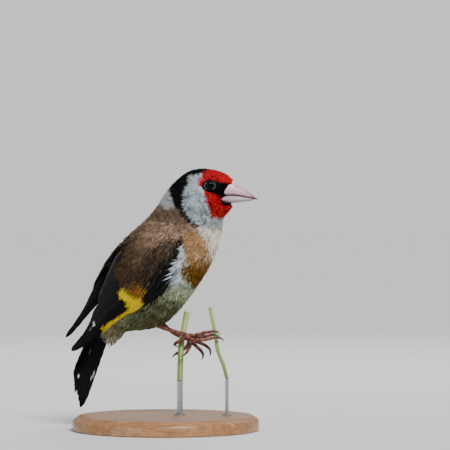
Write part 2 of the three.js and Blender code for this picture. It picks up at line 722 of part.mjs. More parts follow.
addNode(bird, 'torso', largest(torsoFlesh), materials.body);
addNode(bird, 'neck', largest(neckFlesh), materials.head);
addNode(bird, 'head', makeHead(), materials.head);
const nostrils = joined([nostril(1), nostril(-1)]);
addNode(bird, 'bill_upper', largest(billUpper.subtract(nostrils)), materials.bill);
addNode(bird, 'bill_lower', largest(billLower), materials.bill);
addNode(bird, 'tail', tailBody, materials.tail);
for (const [side, sign, ribs] of [['right', -1, rightWingRibs], ['left', 1, leftWingRibs]]) {
  addNode(bird, `eye_${side}`, eyeBall(sign, eyeRadius), materials.eye);
  const wing = makeWing(ribs, sign).subtract(torsoRoom).subtract(tailRoom);
  addNode(bird, `wing_${side}`, largest(wing), materials.wing);
  const foot = makeFoot(side);
  const tarsus = makeTarsus(side).subtract(torsoRoom);
  const ankle = new THREE.SphereGeometry(1.15 + cutWidth, 10, 8);
  ankle.translate(...legs[side].toes[0].points[0]);
  addNode(bird, `tarsus_${side}`, largest(tarsus.subtract(solid(ankle))), materials.leg);
  addNode(bird, `foot_${side}`, largest(foot), materials.leg);
  legs[side].toes.forEach((toe, i) => {
    addNode(bird, `claw_${side}_${i + 1}`, makeClaw(toe), materials.claw);
  });
}
addNode(perch, 'perch_stem_main', makeStem(mainStemPoints, mainStem.radius), materials.stem);
addNode(perch, 'perch_stem_side', makeStem(sideStemPoints, sideStem.radius), materials.stem);
addNode(stand, 'stand_base', makeBase(), materials.wood);
addNode(stand, 'stand_rod_main', makeRod(mainStem), materials.metal);
addNode(stand, 'stand_rod_side', makeRod(sideStem), materials.metal);

export default goldfinch;
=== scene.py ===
import bpy
import bmesh
import math
import numpy as np
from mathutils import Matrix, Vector
from mathutils.bvhtree import BVHTree


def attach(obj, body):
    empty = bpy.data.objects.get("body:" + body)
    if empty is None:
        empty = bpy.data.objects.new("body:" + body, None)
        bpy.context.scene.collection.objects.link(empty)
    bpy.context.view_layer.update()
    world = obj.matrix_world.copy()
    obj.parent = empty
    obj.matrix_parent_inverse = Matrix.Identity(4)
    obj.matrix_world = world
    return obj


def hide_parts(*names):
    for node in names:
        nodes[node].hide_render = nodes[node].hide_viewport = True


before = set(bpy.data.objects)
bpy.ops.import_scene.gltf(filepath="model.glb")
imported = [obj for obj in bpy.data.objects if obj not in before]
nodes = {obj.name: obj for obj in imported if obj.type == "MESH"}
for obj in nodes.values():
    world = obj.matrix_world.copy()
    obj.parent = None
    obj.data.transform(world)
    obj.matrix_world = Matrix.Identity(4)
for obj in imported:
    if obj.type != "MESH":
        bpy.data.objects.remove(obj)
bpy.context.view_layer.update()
print("frame loaded,", len(nodes), "solids")

mm = 0.001

# how the bird sits: the body's own axes and the middle plane of the turned head, in millimetres
pose = {
    "centre": (0.8, 0.0, 68.8),
    "yaw": 22,
    "pitch": 49,
    "roll": 18,
    "headMid": -8.2,
    "billBase": (26.5, -8.2, 97.0),
    "headCentre": (13.5, -8.2, 95.0),
}

yaw, pitch, roll = (math.radians(pose[key]) for key in ("yaw", "pitch", "roll"))
forward = np.array([math.cos(pitch) * math.cos(yaw), -math.cos(pitch) * math.sin(yaw), math.sin(pitch)])
levelLeft = np.array([math.sin(yaw), math.cos(yaw), 0.0])
leftward = levelLeft * math.cos(roll) + np.cross(forward, levelLeft) * math.sin(roll)
backward = np.cross(forward, leftward)
bodyCentre, billBase, headCentre = (np.array(pose[key]) for key in ("centre", "billBase", "headCentre"))
headMid = pose["headMid"]


# small helpers on arrays of points
def unit(rows):
    return rows / np.maximum(np.linalg.norm(rows, axis=-1, keepdims=True), 1e-9)


def toBody(points):
    away = points - bodyCentre
    return np.stack([away @ forward, away @ leftward, away @ backward], -1)


def fromBody(u, v, w):
    u, v, w = (np.asarray(a, float)[..., None] for a in (u, v, w))
    return bodyCentre + u * forward + v * leftward + w * backward


def ease(low, high, value):
    t = np.clip((np.asarray(value, float) - low) / np.subtract(high, low), 0, 1)
    return t * t * (3 - 2 * t)


def between(pair, share):
    return pair[0] + (pair[1] - pair[0]) * share


# the part of each row that lies flat on a surface
def flatOn(rows, facing):
    return rows - (rows * facing).sum(1, keepdims=True) * facing


# the same directions on the other side of the bird
def mirrored(rows):
    return rows - 2 * (rows @ leftward)[..., None] * leftward


def mix(a, b, share):
    share = np.asarray(share, float)
    if share.ndim:
        share = share[:, None]
    return a + (b - a) * share


def tint(red, green, blue):
    s = np.array([red, green, blue]) / 255
    return np.where(s <= 0.04045, s / 12.92, ((s + 0.055) / 1.055) ** 2.4)


def inside(x, z, outline):
    found = np.zeros(len(x), bool)
    ax, az = outline[-1]
    for bx, bz in outline:
        if az != bz:
            found ^= ((az > z) != (bz > z)) & (x < (bx - ax) * (z - az) / (bz - az) + ax)
        ax, az = bx, bz
    return found


# markings, drawn on the side of the bird as outlines of x and z in millimetres
marks = {
    "forehead": [
        (28.6, 100.4), (30, 103), (26.8, 110), (17.4, 110), (17.4, 106.2), (16.1, 105.3), (14.3, 104.4),
        (14.5, 103.3), (13.0, 101.5), (13.2, 100.0), (14.0, 99.3), (14.8, 100.4), (15.9, 101.3),
        (19.0, 101.6), (21.0, 101.4), (22.6, 100.8), (24.4, 100.8), (25.9, 100.3),
    ],
    # black lores and bill base; the outline's low run under the bill is painted shadow
    "loresAndBillShadow": [
        (14.0, 99.5), (15.4, 98.3), (16.1, 97.7), (16.7, 96.6), (19.2, 95.9), (21.5, 95.5), (22.2, 94.2),
        (22.1, 93.0), (22.3, 91.8), (23.0, 90.9), (28.8, 91.2), (30, 93), (30, 101), (25.9, 100.5),
        (24.4, 100.9), (22.6, 100.9), (21.0, 101.5), (19.0, 101.7), (15.9, 101.4), (14.8, 100.5),
    ],
    "chin": [
        (15.5, 97.7), (17.0, 97.0), (18.3, 96.5), (21.3, 95.7), (22.3, 94.6), (22.5, 93.1), (22.8, 91.9),
        (23.5, 91.3), (28.8, 91.8), (28.4, 89.6), (26.9, 87.9), (25.0, 87.2), (23.5, 86.6), (21.7, 86.2),
        (20.3, 86.5), (18.4, 86.4), (17.7, 88.4), (17.8, 89.7), (17.0, 91.3), (16.6, 92.8),
        (16.0, 94.4), (15.5, 95.8),
    ],
    "band": [
        (1.9, 98.4), (2.1, 96.2), (2.5, 93.0), (4.5, 89.8), (6.6, 87.3), (8.7, 84.9), (12.2, 82.6),
        (13.2, 82.9), (10.4, 85.2), (8.7, 87.4), (7.2, 90.1), (6.7, 92.6), (7.1, 95.7), (7.7, 98.1),
        (8.6, 99.4), (8.9, 101.0), (8.8, 102.2), (9.0, 103.2), (11.6, 103.9), (14.3, 104.0), (16.1, 104.8),
        (17.6, 105.6), (17.6, 111), (6, 111), (-1, 104),
    ],
    "nape": [
        (-3, 95), (1.9, 98.6), (2.3, 96.0), (2.7, 93.2), (3.6, 91.0), (2.6, 90.0), (-0.2, 90.2), (-2, 92),
    ],
    "chest": [
        (9.6, 85.2), (10.6, 84.0), (12.6, 82.6), (13.6, 80.4), (15.3, 77.3), (16.5, 73.7), (16.5, 70.0),
        (18.1, 68.8), (20.9, 71.2), (24.5, 72.8), (30, 79.3), (30, 93.8), (16.5, 93.8), (10.0, 89.7),
    ],
    "cheek": [
        (9.0, 99.9), (7.6, 98.1), (7.0, 95.7), (6.6, 92.6), (7.1, 90.1), (8.6, 87.4), (10.3, 85.0),
        (12.6, 83.2), (16, 82), (24, 84), (29, 88), (29, 108), (8, 108),
    ],
    "cinnamon": [
        (7.2, 79.3), (9.2, 81.1), (12.4, 80.9), (15.3, 77.3), (16.1, 73.2), (15.7, 69.6), (17.7, 68.4),
        (19.7, 70.8), (24.1, 71.2), (22, 62.8), (17.4, 57.4), (11.6, 57.4), (8.4, 60.4), (6.4, 64.0),
        (7.4, 68.4), (7.2, 72.8), (6.4, 76.5),
    ],
    "flank": [
        (6.6, 75.6), (7.2, 73.7), (7.4, 68.8), (6.4, 64.8), (8.0, 60.8), (9.4, 58.8), (6.0, 57.4),
        (2.4, 57.8), (0.2, 58.8), (3.0, 63.8), (4.2, 66.8), (5.6, 71.6),
    ],
    "belly": [
        (-3.6, 54.8), (0.2, 58.8), (2.4, 57.8), (6.0, 57.4), (9.4, 58.8), (14.9, 57.6), (24, 61.6),
        (22, 51), (10, 40), (0, 32), (-30.2, 28), (-34, 40), (-26.1, 41.5), (-14.1, 46.3), (-7.7, 51.9),
    ],
    "strip": [
        (4.4, 77.3), (7.2, 77.3), (6.8, 73.2), (4.8, 68.4), (2.0, 61.6), (-2.0, 55.2), (-7.7, 51.5),
        (-11.2, 53.5), (-7.0, 58.4), (-3.3, 62.4), (0.2, 66.8), (2.4, 71.6),
    ],
    "bar": [
        (-19.2, 55.6), (-17.7, 58.0), (-14.9, 60.0), (-12.1, 61.2), (-9.3, 59.6), (-7.3, 57.6), (-8.9, 54.8),
        (-10.3, 52.9), (-8.5, 51.1), (-12.9, 48.0), (-18.1, 44.4), (-25.5, 39.6), (-26.3, 41.7),
        (-20.1, 45.9), (-16.3, 48.7), (-14.7, 49.7), (-15.7, 51.5), (-16.5, 53.5), (-18.5, 54.2),
    ],
    "amber": [(-14.9, 57.6), (-12.5, 59.6), (-9.3, 59.4), (-8.6, 57.0), (-10.5, 54.8), (-13.8, 55.2)],
    # the belly under the wing, laid in the olive paint: painted shade with a green cast
    "olive": [
        (-6.1, 52.3), (2.8, 53.5), (6.8, 51.5), (4.4, 46.3), (0, 41.5), (-10.1, 39.1), (-18.9, 38.3),
        (-21.3, 40.7), (-14.9, 45.5),
    ],
    "dusk": [
        (-6.1, 73.7), (0, 77.3), (4.4, 77.3), (3.2, 71.2), (0.4, 66.4), (-4.7, 59.6), (-9.1, 56.4),
        (-14.9, 57.8), (-10.1, 65.6),
    ],
    # a dark line along a crease of the back: painted shadow
    "creaseShadow": [(-9.5, 79.9), (-9.3, 78.7), (-14.9, 74.3), (-20.9, 69.0), (-21.6, 70.6), (-15.7, 75.7)],
}

paints = {
    "mantle": tint(148, 120, 94),
    "mantlePale": tint(186, 165, 146),
    # the back's own warm brown, deepened by painted shade
    "mantleWarm": tint(66, 46, 18),
    "mantleDark": tint(38, 27, 12),
    "black": tint(5, 6, 7),
    "cheek": tint(232, 243, 249),
    "cheekShade": tint(92, 114, 128),
    "red": tint(226, 18, 42),
    "redDark": tint(74, 0, 12),
    "orange": tint(240, 92, 36),
    "tan": tint(174, 134, 92),
    "cinnamon": tint(114, 77, 15),
    "white": tint(236, 238, 234),
    "cream": tint(216, 192, 152),
    # belly, olive and oliveYellow: the belly's own pale colour, darkened and tinted green as painted shade
    # with a green cast of light thrown back from round the bird
    "belly": tint(160, 173, 132),
    "olive": tint(56, 54, 8),
    "oliveYellow": tint(122, 118, 48),
    "yellow": tint(226, 196, 0),
    "amber": tint(176, 112, 16),
    "frost": tint(186, 202, 212),
}


# how far the edges of the markings wander on body and head, and the zones that aren't outlines
plumageSettings = {
    "raggedBody": 2.3,
    "raggedHead": 0.55,
    "socket": (18.1, 99.2, 3.5, 2.5),     # the black round the eye: place and half sizes
    "wingSpan": (-32, -3),     # along the spine, where the coat beside the far wing is black
    "innerSpan": (-32, -6),
}


# the same point on the side towards the camera, so that both sides carry the same markings
def nearSide(points):
    body = toBody(points)
    flipped = points - 2 * np.maximum(body[:, 1:2], 0) * leftward
    turned = points.copy()
    turned[:, 1] = np.minimum(points[:, 1], 2 * headMid - points[:, 1])
    return mix(flipped, turned, ease(14, 26, body[:, 0]))


# the coat's colour at each point, lighter or darker by tone
def plumage(points, ragged, tone, seed=5):
    s = plumageSettings
    dice = np.random.default_rng(seed)
    count = len(points)
    near = nearSide(points)
    along, across, above = toBody(points).T
    shake = ragged * between((s["raggedBody"], s["raggedHead"]), ease(84, 90, near[:, 2]))
    x = near[:, 0] + dice.normal(0, 1, count) * shake
    z = near[:, 2] + dice.normal(0, 1, count) * shake
    # light and dark follow tone, which in the coat holds painted light and shade on each clump
    light, dark = np.clip(tone, 0, 1), np.clip(-tone, 0, 1)
    pick = dice.uniform(0, 1, count)
    ink = paints

    def within(name):
        return inside(x, z, marks[name])

    def lay(where, shade, share=1.0):
        nonlocal colour
        colour = mix(colour, shade, share * where)

    # back, shoulders and rump
    colour = mix(ink["mantle"], ink["mantlePale"], light * (0.6 + 0.3 * ease(6, 16, along)))
    colour = mix(colour, ink["mantleDark"], dark * 0.55)
    # the rear of the back and the shoulder over the wing turn a dark warm brown: the back's own brown,
    # deepened by painted shade
    warm = mix(ink["mantleWarm"], ink["mantleDark"], dark * 0.7)
    colour = mix(colour, warm, ease(9, -8, along) * (0.7 + 0.3 * pick))
    # behind, the rump takes the belly's colours, with their painted shade
    colour = mix(colour, mix(ink["belly"], ink["olive"], dark * 0.6), ease(-20, -27, along))
    lay(within("dusk"), mix(ink["mantleDark"], ink["black"], dark), 0.45 + 0.55 * pick)
    # painted shadow along a crease of the back
    lay(within("creaseShadow"), ink["mantleDark"], 0.8)

    # belly, chest and flanks
    # belly and olive patch: pale belly colour carrying painted shade with a green cast
    lay(within("belly"), mix(ink["belly"], ink["white"], light * 0.5))
    lay(within("belly") & (along < -18), ink["oliveYellow"], 0.35 + 0.4 * pick)
    lay(within("olive"), mix(ink["olive"], ink["belly"], light * 0.5), 0.65 + 0.35 * pick)
    front = ease(14, 20, near[:, 0]) * ease(100, 88, near[:, 2]) > 0.5
    chest = mix(ink["white"], ink["cream"], np.where(pick > 0.7, 0.75, 0.2))
    lay(within("chest") | front & (near[:, 2] > 76), chest)
    pale = mix(ink["frost"], ink["white"], light)
    # lower down the flank turns to the belly colour, with its painted shade
    lay(within("flank"), mix(pale, ink["belly"], ease(64, 59, z) * 0.8))
    rich = ease(71, 65, z)
    warm = mix(ink["tan"], ink["cinnamon"], np.clip(rich + dark * 0.35, 0, 1))
    warm = mix(warm, ink["cream"], light * (1 - rich) * 0.5)
    warm = mix(warm, ink["mantleDark"], dark * rich * 0.4)
    lay(within("cinnamon"), warm, 1 - 0.45 * np.exp(-(across / 2.6) ** 2))

    # beside the wings
    lay(within("strip"), ink["black"])
    lay(within("amber"), ink["amber"], np.where(pick > 0.4, 0.85, 0.2))
    rear, ahead = s["wingSpan"]
    farWing = (across > 3) & (above > 1) & (along < ahead + dice.normal(0, 0.6, count)) & (along > rear)
    rear, ahead = s["innerSpan"]
    innerEdge = (across < -2) & (above > 14.5) & (along < ahead) & (along > rear)
    lay(farWing | innerEdge, mix(ink["black"], ink["mantle"], np.where(pick > 0.86, 0.7, 0.0)))

    # head
    shaded = np.clip(dark * 1.7, 0, 1) * (0.25 + 0.75 * ease(99.5, 95, z))
    lay(within("cheek"), mix(ink["cheek"], ink["cheekShade"], shaded))
    lay(within("nape"), mix(ink["cheek"], ink["mantlePale"], 0.25 + 0.5 * dark))
    lay(within("band"), ink["black"])
    eyeX, eyeZ, wide, high = s["socket"]
    socket = ((x - eyeX) / wide) ** 2 + ((z - eyeZ) / high) ** 2 < 1
    # black lores and eye surround; along the low edge under the bill this black is painted shadow
    lay(within("loresAndBillShadow") | socket, mix(ink["black"], ink["mantleDark"], light * 0.35))
    # below z 95 the red turns darker still: painted shade on the chin under the bill
    red = mix(ink["red"], ink["redDark"], np.clip(dark * (0.8 + 0.8 * (z < 95)), 0, 1))
    red = mix(red, ink["orange"], np.where(light > 0.5, 0.2 + 0.45 * (z < 91), 0.0))
    lay((within("forehead") & ~socket) | within("chin"), red)
    return colour


# meshes from arrays, with a point colour and a bake map
def toObject(name, points, triangles, colour=None, bakeMap=None, strandMap=None):
    mesh = bpy.data.meshes.new(name)
    count = len(triangles)
    mesh.vertices.add(len(points))
    setPoints(mesh, points)
    mesh.loops.add(count * 3)
    mesh.loops.foreach_set("vertex_index", triangles.astype(np.int32).ravel())
    mesh.polygons.add(count)
    mesh.polygons.foreach_set("loop_start", np.arange(0, count * 3, 3, dtype=np.int32))
    mesh.update(calc_edges=True)
    mesh.polygons.foreach_set("use_smooth", np.ones(count, bool))
    if colour is not None:
        paintMesh(mesh, colour)
    for title, place in (("OFBake", bakeMap), ("strand", strandMap)):
        if place is not None:
            layer = mesh.uv_layers.new(name=title)
            layer.data.foreach_set("uv", place[triangles.ravel()].astype(np.float32).ravel())
    obj = bpy.data.objects.new(name, mesh)
    bpy.context.scene.collection.objects.link(obj)
    return obj


def paintMesh(mesh, colour):
    layer = mesh.color_attributes.new(name="plumage", type="FLOAT_COLOR", domain="POINT")
    full = np.ones((len(mesh.vertices), 4), np.float32)
    full[:, :3] = colour
    layer.data.foreach_set("color", full.ravel())


def setPoints(mesh, points):
    mesh.vertices.foreach_set("co", (points * mm).astype(np.float32).ravel())


def pointsOf(mesh):
    co = np.empty(len(mesh.vertices) * 3, np.float32)
    mesh.vertices.foreach_get("co", co)
    return co.reshape(-1, 3).astype(float) / mm


def normalsOf(mesh):
    facing = np.empty(len(mesh.vertices) * 3, np.float32)
    mesh.vertex_normals.foreach_get("vector", facing)
    return facing.reshape(-1, 3).astype(float)


def finishPiece(obj, material, slot, *replaced):
    obj.data.materials.clear()
    obj.data.materials.append(material)
    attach(obj, "root")
    if replaced:
        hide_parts(*replaced)


def soften(bm, verts, times):
    for _ in range(times):
        bmesh.ops.smooth_vert(
            bm, verts=verts, factor=0.5, use_axis_x=True, use_axis_y=True, use_axis_z=True)


def objectFrom(bm, name, smooth=True):
    bmesh.ops.recalc_face_normals(bm, faces=bm.faces)
    mesh = bpy.data.meshes.new(name)
    bm.to_mesh(mesh)
    bm.free()
    mesh.polygons.foreach_set("use_smooth", np.full(len(mesh.polygons), smooth))
    obj = bpy.data.objects.new(name, mesh)
    bpy.context.scene.collection.objects.link(obj)
    return obj


# materials
def startMaterial(name, surface):
    material = bpy.data.materials.new(name)
    material.use_nodes = True
    tree = material.node_tree
    shader = tree.nodes["Principled BSDF"]
    for title, value in surface.items():
        shader.inputs[title].default_value = value
    return material, tree, shader


def addNode(tree, kind, **values):
    node = tree.nodes.new(kind)
    for key, value in values.items():
        if key in node.inputs:
            node.inputs[key].default_value = value
        else:
            setattr(node, key, value)
    return node


def coordinates(tree):
    return addNode(tree, "ShaderNodeTexCoord").outputs["Object"]


def stretched(tree, scale):
    mapping = addNode(tree, "ShaderNodeMapping", Scale=scale)
    tree.links.new(coordinates(tree), mapping.inputs["Vector"])
    return mapping.outputs["Vector"]


def painted(tree):
    return addNode(tree, "ShaderNodeAttribute", attribute_name="plumage").outputs["Color"]


def addBump(tree, shader, height, strength, distance):
    bump = addNode(tree, "ShaderNodeBump", Strength=strength, Distance=distance)
    tree.links.new(height, bump.inputs["Height"])
    tree.links.new(bump.outputs["Normal"], shader.inputs["Normal"])


def noiseOn(tree, vector, scale, detail=3.0):
    noise = addNode(tree, "ShaderNodeTexNoise", Scale=scale, Detail=detail)
    tree.links.new(vector, noise.inputs["Vector"])
    return noise.outputs["Fac"]


def ramp(tree, value, stops):
    node = addNode(tree, "ShaderNodeValToRGB")
    tree.links.new(value, node.inputs["Fac"])
    elements = node.color_ramp.elements
    while len(elements) < len(stops):
        elements.new(0.5)
    for element, (place, shade) in zip(elements, stops):
        element.position = place
        element.color = (*shade, 1)
    return node.outputs["Color"]


def multiply(tree, first, second, share=1.0):
    node = addNode(tree, "ShaderNodeMix", data_type="RGBA", blend_type="MULTIPLY")
    node.inputs[0].default_value = share
    tree.links.new(first, node.inputs[6])
    tree.links.new(second, node.inputs[7])
    return node.outputs[2]


# one texture gives the tones, laid over the painted colour where there is one, and the bump
def grainMaterial(name, surface, scale, tones, bump=None, paint=True, stretch=None, detail=3.0):
    material, tree, shader = startMaterial(name, surface)
    place = stretched(tree, stretch) if stretch else coordinates(tree)
    texture = noiseOn(tree, place, scale, detail)
    colour = ramp(tree, texture, tones)
    if paint:
        colour = multiply(tree, painted(tree), colour)
    tree.links.new(colour, shader.inputs["Base Color"])
    if bump:
        addBump(tree, shader, texture, *bump)
    return material


def featherMaterial(name, roughness, sheen, variation, barbs=0.0):
    material, tree, shader = startMaterial(name, {
        "Roughness": roughness, "Specular IOR Level": 0.07, "Sheen Weight": sheen, "Sheen Roughness": 0.4})
    here = coordinates(tree)
    low, high = 1 - variation, 1 + variation * 0.4
    shade = ramp(tree, noiseOn(tree, here, 1400), [(0.3, (low,) * 3), (0.7, (high,) * 3)])
    tree.links.new(multiply(tree, painted(tree), shade), shader.inputs["Base Color"])
    if barbs:
        strand = addNode(tree, "ShaderNodeUVMap", uv_map="strand").outputs["UV"]
        wave = addNode(
            tree, "ShaderNodeTexWave", wave_type="BANDS", bands_direction="X", Scale=1.0, Distortion=1.2)
        tree.links.new(strand, wave.inputs["Vector"])
        addBump(tree, shader, wave.outputs["Fac"], barbs, 0.00012)
    else:
        addBump(tree, shader, noiseOn(tree, here, 5200, 2.0), 0.35, 0.0001)
    return material


coatMaterial = featherMaterial("bodyPlumage", 0.62, 0.05, 0.18)
faceMaterial = featherMaterial("facePlumage", 0.55, 0.04, 0.22)
skinMaterial = featherMaterial("plumageUnderCoat", 0.85, 0.0, 0.5)
vaneMaterial = featherMaterial("flightFeather", 0.46, 0.0, 0.25, 0.5)
print("feather materials ready")

# the eyes, whose place the skin and the coat need too
eyeSettings = {
    "x": 18.0,
    "z": 99.4,
    "offset": 6.5,     # from the head's middle plane
    "radius": 2.65,
    "lid": 2.1,        # opening of the lids
    "bare": 2.7,       # no feather of the coat grows nearer than this
    "brow": 260,       # small feathers on the lids
}


def eyeGapOf(points):
    return np.hypot(points[:, 0] - eyeSettings["x"], points[:, 2] - eyeSettings["z"])


def besideHead(points):
    return np.abs(points[:, 1] - headMid) > 3


# skin: one surface under the coat of head, neck, body and shoulders
skinSettings = {
    "tailRoot": (-20.5, 6.6, 44.5),     # the body narrows towards this point
    "grow": 0.28,        # closes the gaps between the solids
    "voxel": 0.62,
    "smoothing": 9,
    "wingEnd": -20.0,    # the shoulders end here along the spine
    "depthFace": 0.5,
    "depthBody": 1.05,
    "rear": -36.0,       # behind this the body draws in to the tail
    "rearKeep": 0.36,
    "rearSlim": 0.16,    # and narrower
    "billLine": ((23.4, 95.3), (28.1, 101.2)),   # where the feathers end on the side of the bill
    "billHalf": (2.5, 0.9),     # half width at the edge of the feathers, then inside the bill
    "socket": 4.6,              # the skin is smoother within this of the eye
    "socketSmoothing": 70,
}


def solidCopy(name):
    bm = bmesh.new()
    bm.from_mesh(nodes[name].data)
    bmesh.ops.remove_doubles(bm, verts=bm.verts, dist=2e-6)
    return bm


def shoulderCopy(name):
    bm = solidCopy(name)
    edge = fromBody(skinSettings["wingEnd"], 0, 0) * mm
    cut = bmesh.ops.bisect_plane(
        bm, geom=bm.verts[:] + bm.edges[:] + bm.faces[:], dist=1e-7,
        plane_co=edge, plane_no=-forward, clear_outer=True)
    rim = [e for e in cut["geom_cut"] if isinstance(e, bmesh.types.BMEdge)]
    bmesh.ops.contextual_create(bm, geom=rim)
    return bm


def remeshed(obj, voxel):
    modifier = obj.modifiers.new("remesh", "REMESH")
    modifier.mode = "VOXEL"
    modifier.voxel_size = voxel * mm
    evaluated = obj.evaluated_get(bpy.context.evaluated_depsgraph_get())
    mesh = bpy.data.meshes.new_from_object(evaluated)
    bpy.data.objects.remove(obj)
    return mesh


def biggestShell(bm):
    left = set(bm.verts)
    best = set()
    while left:
        grown = {left.pop()}
        edge = list(grown)
        while edge:
            vert = edge.pop()
            for link in vert.link_edges:
                other = link.other_vert(vert)
                if other in left:
                    left.discard(other)
                    grown.add(other)
                    edge.append(other)
        if len(grown) > len(best):
            best = grown
    bmesh.ops.delete(bm, geom=[v for v in bm.verts if v not in best], context="VERTS")


def coatDepth(points):
    nose = np.linalg.norm(points - billBase, axis=1)
    return between((skinSettings["depthFace"], skinSettings["depthBody"]), ease(7, 24, nose))


# how far a point lies ahead of the edge of the feathers at the bill
def pastBillLine(points):
    (lowX, lowZ), (highX, highZ) = skinSettings["billLine"]
    line = lowX + np.clip((points[:, 2] - lowZ) / (highZ - lowZ), 0, 1) * (highX - lowX)
    return points[:, 0] - line


def besideBill(points):
    height = ease(91.0, 92.6, points[:, 2]) * ease(102.6, 100.6, points[:, 2])
    return ease(-4.2, 0.0, pastBillLine(points)) * height


# draws the sides of the face in towards the base of the bill
def shapeFace(points):
    share = besideBill(points)
    offset = points[:, 1] - headMid
    half = between(skinSettings["billHalf"], ease(-0.3, 1.6, pastBillLine(points)))
    drawn = np.sign(offset) * np.minimum(np.abs(offset), half)
    shaped = points.copy()
    shaped[:, 1] = headMid + offset + (drawn - offset) * share
    return shaped


# a solid's copy, a little larger, with the body's end drawn in to the tail
def grownPart(name):
    s = skinSettings
    part = shoulderCopy(name) if name.startswith("wing") else solidCopy(name)
    part.normal_update()
    for vert in part.verts:
        vert.co += vert.normal * s["grow"] * mm
        behind = s["rear"] - float(toBody(np.array(vert.co) / mm)[0])
        if name == "torso":
            vert.co += Vector(forward) * (max(behind, 0) * (1 - s["rearKeep"]) * mm)
            slim = float(ease(-10, 0, behind)) * s["rearSlim"]
            vert.co += Vector(np.array(s["tailRoot"]) - np.array(vert.co) / mm) * (slim * mm)
    return part


def makeSkin():
    s = skinSettings
    joined = bmesh.new()
    for name in ("head", "neck", "torso", "wing_left", "wing_right"):
        part = grownPart(name)
        mesh = bpy.data.meshes.new("part")
        part.to_mesh(mesh)
        part.free()
        joined.from_mesh(mesh)
        bpy.data.meshes.remove(mesh)
    mesh = bpy.data.meshes.new("joined")
    joined.to_mesh(mesh)
    joined.free()
    rough = bpy.data.objects.new("rough", mesh)
    bpy.context.scene.collection.objects.link(rough)
    bm = bmesh.new()
    bm.from_mesh(remeshed(rough, s["voxel"]))
    biggestShell(bm)
    soften(bm, bm.verts, s["smoothing"])
    points = np.array([v.co[:] for v in bm.verts]) / mm
    atEye = (eyeGapOf(points) < s["socket"]) & besideHead(points)
    soften(bm, [v for v, found in zip(bm.verts, atEye) if found], s["socketSmoothing"])
    bmesh.ops.triangulate(bm, faces=bm.faces)
    obj = objectFrom(bm, "skin")
    points = pointsOf(obj.data)
    inward = shapeFace(points - normalsOf(obj.data) * (s["grow"] + coatDepth(points))[:, None])
    setPoints(obj.data, inward)
    obj.data.update()
    paintMesh(obj.data, plumage(inward, 0.25, np.full(len(inward), -0.25)) * 0.75)
    return obj


skin = makeSkin()
finishPiece(skin, skinMaterial, "body_plumage", "head", "neck", "torso")
skinPoints = pointsOf(skin.data)
skinFaces = np.empty(len(skin.data.polygons) * 3, np.int32)
skin.data.polygons.foreach_get("vertices", skinFaces)
skinFaces = skinFaces.reshape(-1, 3)
skinTree = BVHTree.FromPolygons(skinPoints.tolist(), skinFaces.tolist())
print("skin:", len(skinFaces), "triangles")

# coat: every feather is a fan of thin locks that follow the skin
coatSettings = {
    "feathers": 12250,
    "locksHead": 8,
    "locksBody": 6,
    "densityFace": 5.4,
    "densityHead": 3.0,
    "densityBody": 1.0,
    "lengthFace": 1.1,
    "lengthHead": 2.5,
    "lengthBody": 5.2,
    "pieceLimit": 1700,     # feathers in one piece of the coat
}


# one lock as a three-sided taper, across, up and along
def lockShape(rows):
    bm = bmesh.new()
    bmesh.ops.create_circle(bm, cap_ends=True, segments=3, radius=1.0)
    face = bm.faces[:][0]
    first = rows[0][1]
    bmesh.ops.scale(bm, vec=(first, first, 1), verts=bm.verts)
    for (place, width), (before, previous) in zip(rows[1:], rows[:-1]):
        grown = bmesh.ops.extrude_face_region(bm, geom=[face])["geom"]
        face = next(g for g in grown if isinstance(g, bmesh.types.BMFace))
        bmesh.ops.translate(bm, vec=(0, 0, place - before), verts=face.verts)
        share = max(width, 1e-3) / previous
        bmesh.ops.scale(bm, vec=(share, share, 1), verts=face.verts)
    bmesh.ops.pointmerge(bm, verts=face.verts, merge_co=(0, 0, rows[-1][0]))
    bmesh.ops.recalc_face_normals(bm, faces=bm.faces)
    bmesh.ops.triangulate(bm, faces=bm.faces)
    bm.verts.index_update()
    shape = np.array([v.co[:] for v in bm.verts])
    faces = np.array([[v.index for v in f.verts] for f in bm.faces])
    bm.free()
    return shape, faces


smallLock = lockShape([(0, 0.85), (0.55, 1.0), (1, 0.05)])
shortLock = lockShape([(0, 0.75), (0.4, 1.0), (0.78, 0.7), (1, 0.05)])
longLock = lockShape([(0, 0.7), (0.25, 1.0), (0.5, 0.95), (0.75, 0.6), (1, 0.05)])


def onSkin(points):
    spots = np.empty_like(points)
    facing = np.empty_like(points)
    for i, point in enumerate(points):
        spot, normal, _, _ = skinTree.find_nearest(point)
        spots[i] = spot
        facing[i] = normal
    return spots, facing


# which way the coat lies: away from the bill over the head, round the eye, then down the spine
def coatLie(points, facing):
    fromBill = unit(points - billBase)
    reach = np.linalg.norm(points - billBase, axis=1)
    flow = mix(fromBill, -forward, ease(12, 34, reach))
    away = points - np.array([eyeSettings["x"], 0, eyeSettings["z"]])
    away[:, 1] = 0
    near = ease(5.2, 3.2, np.linalg.norm(away, axis=1)) * besideHead(points)
    away = unit(away)
    toward = np.minimum((flow * away).sum(1), 0) * near
    flow = flow - away * toward[:, None] * 1.15
    return unit(flatOn(flow, facing))


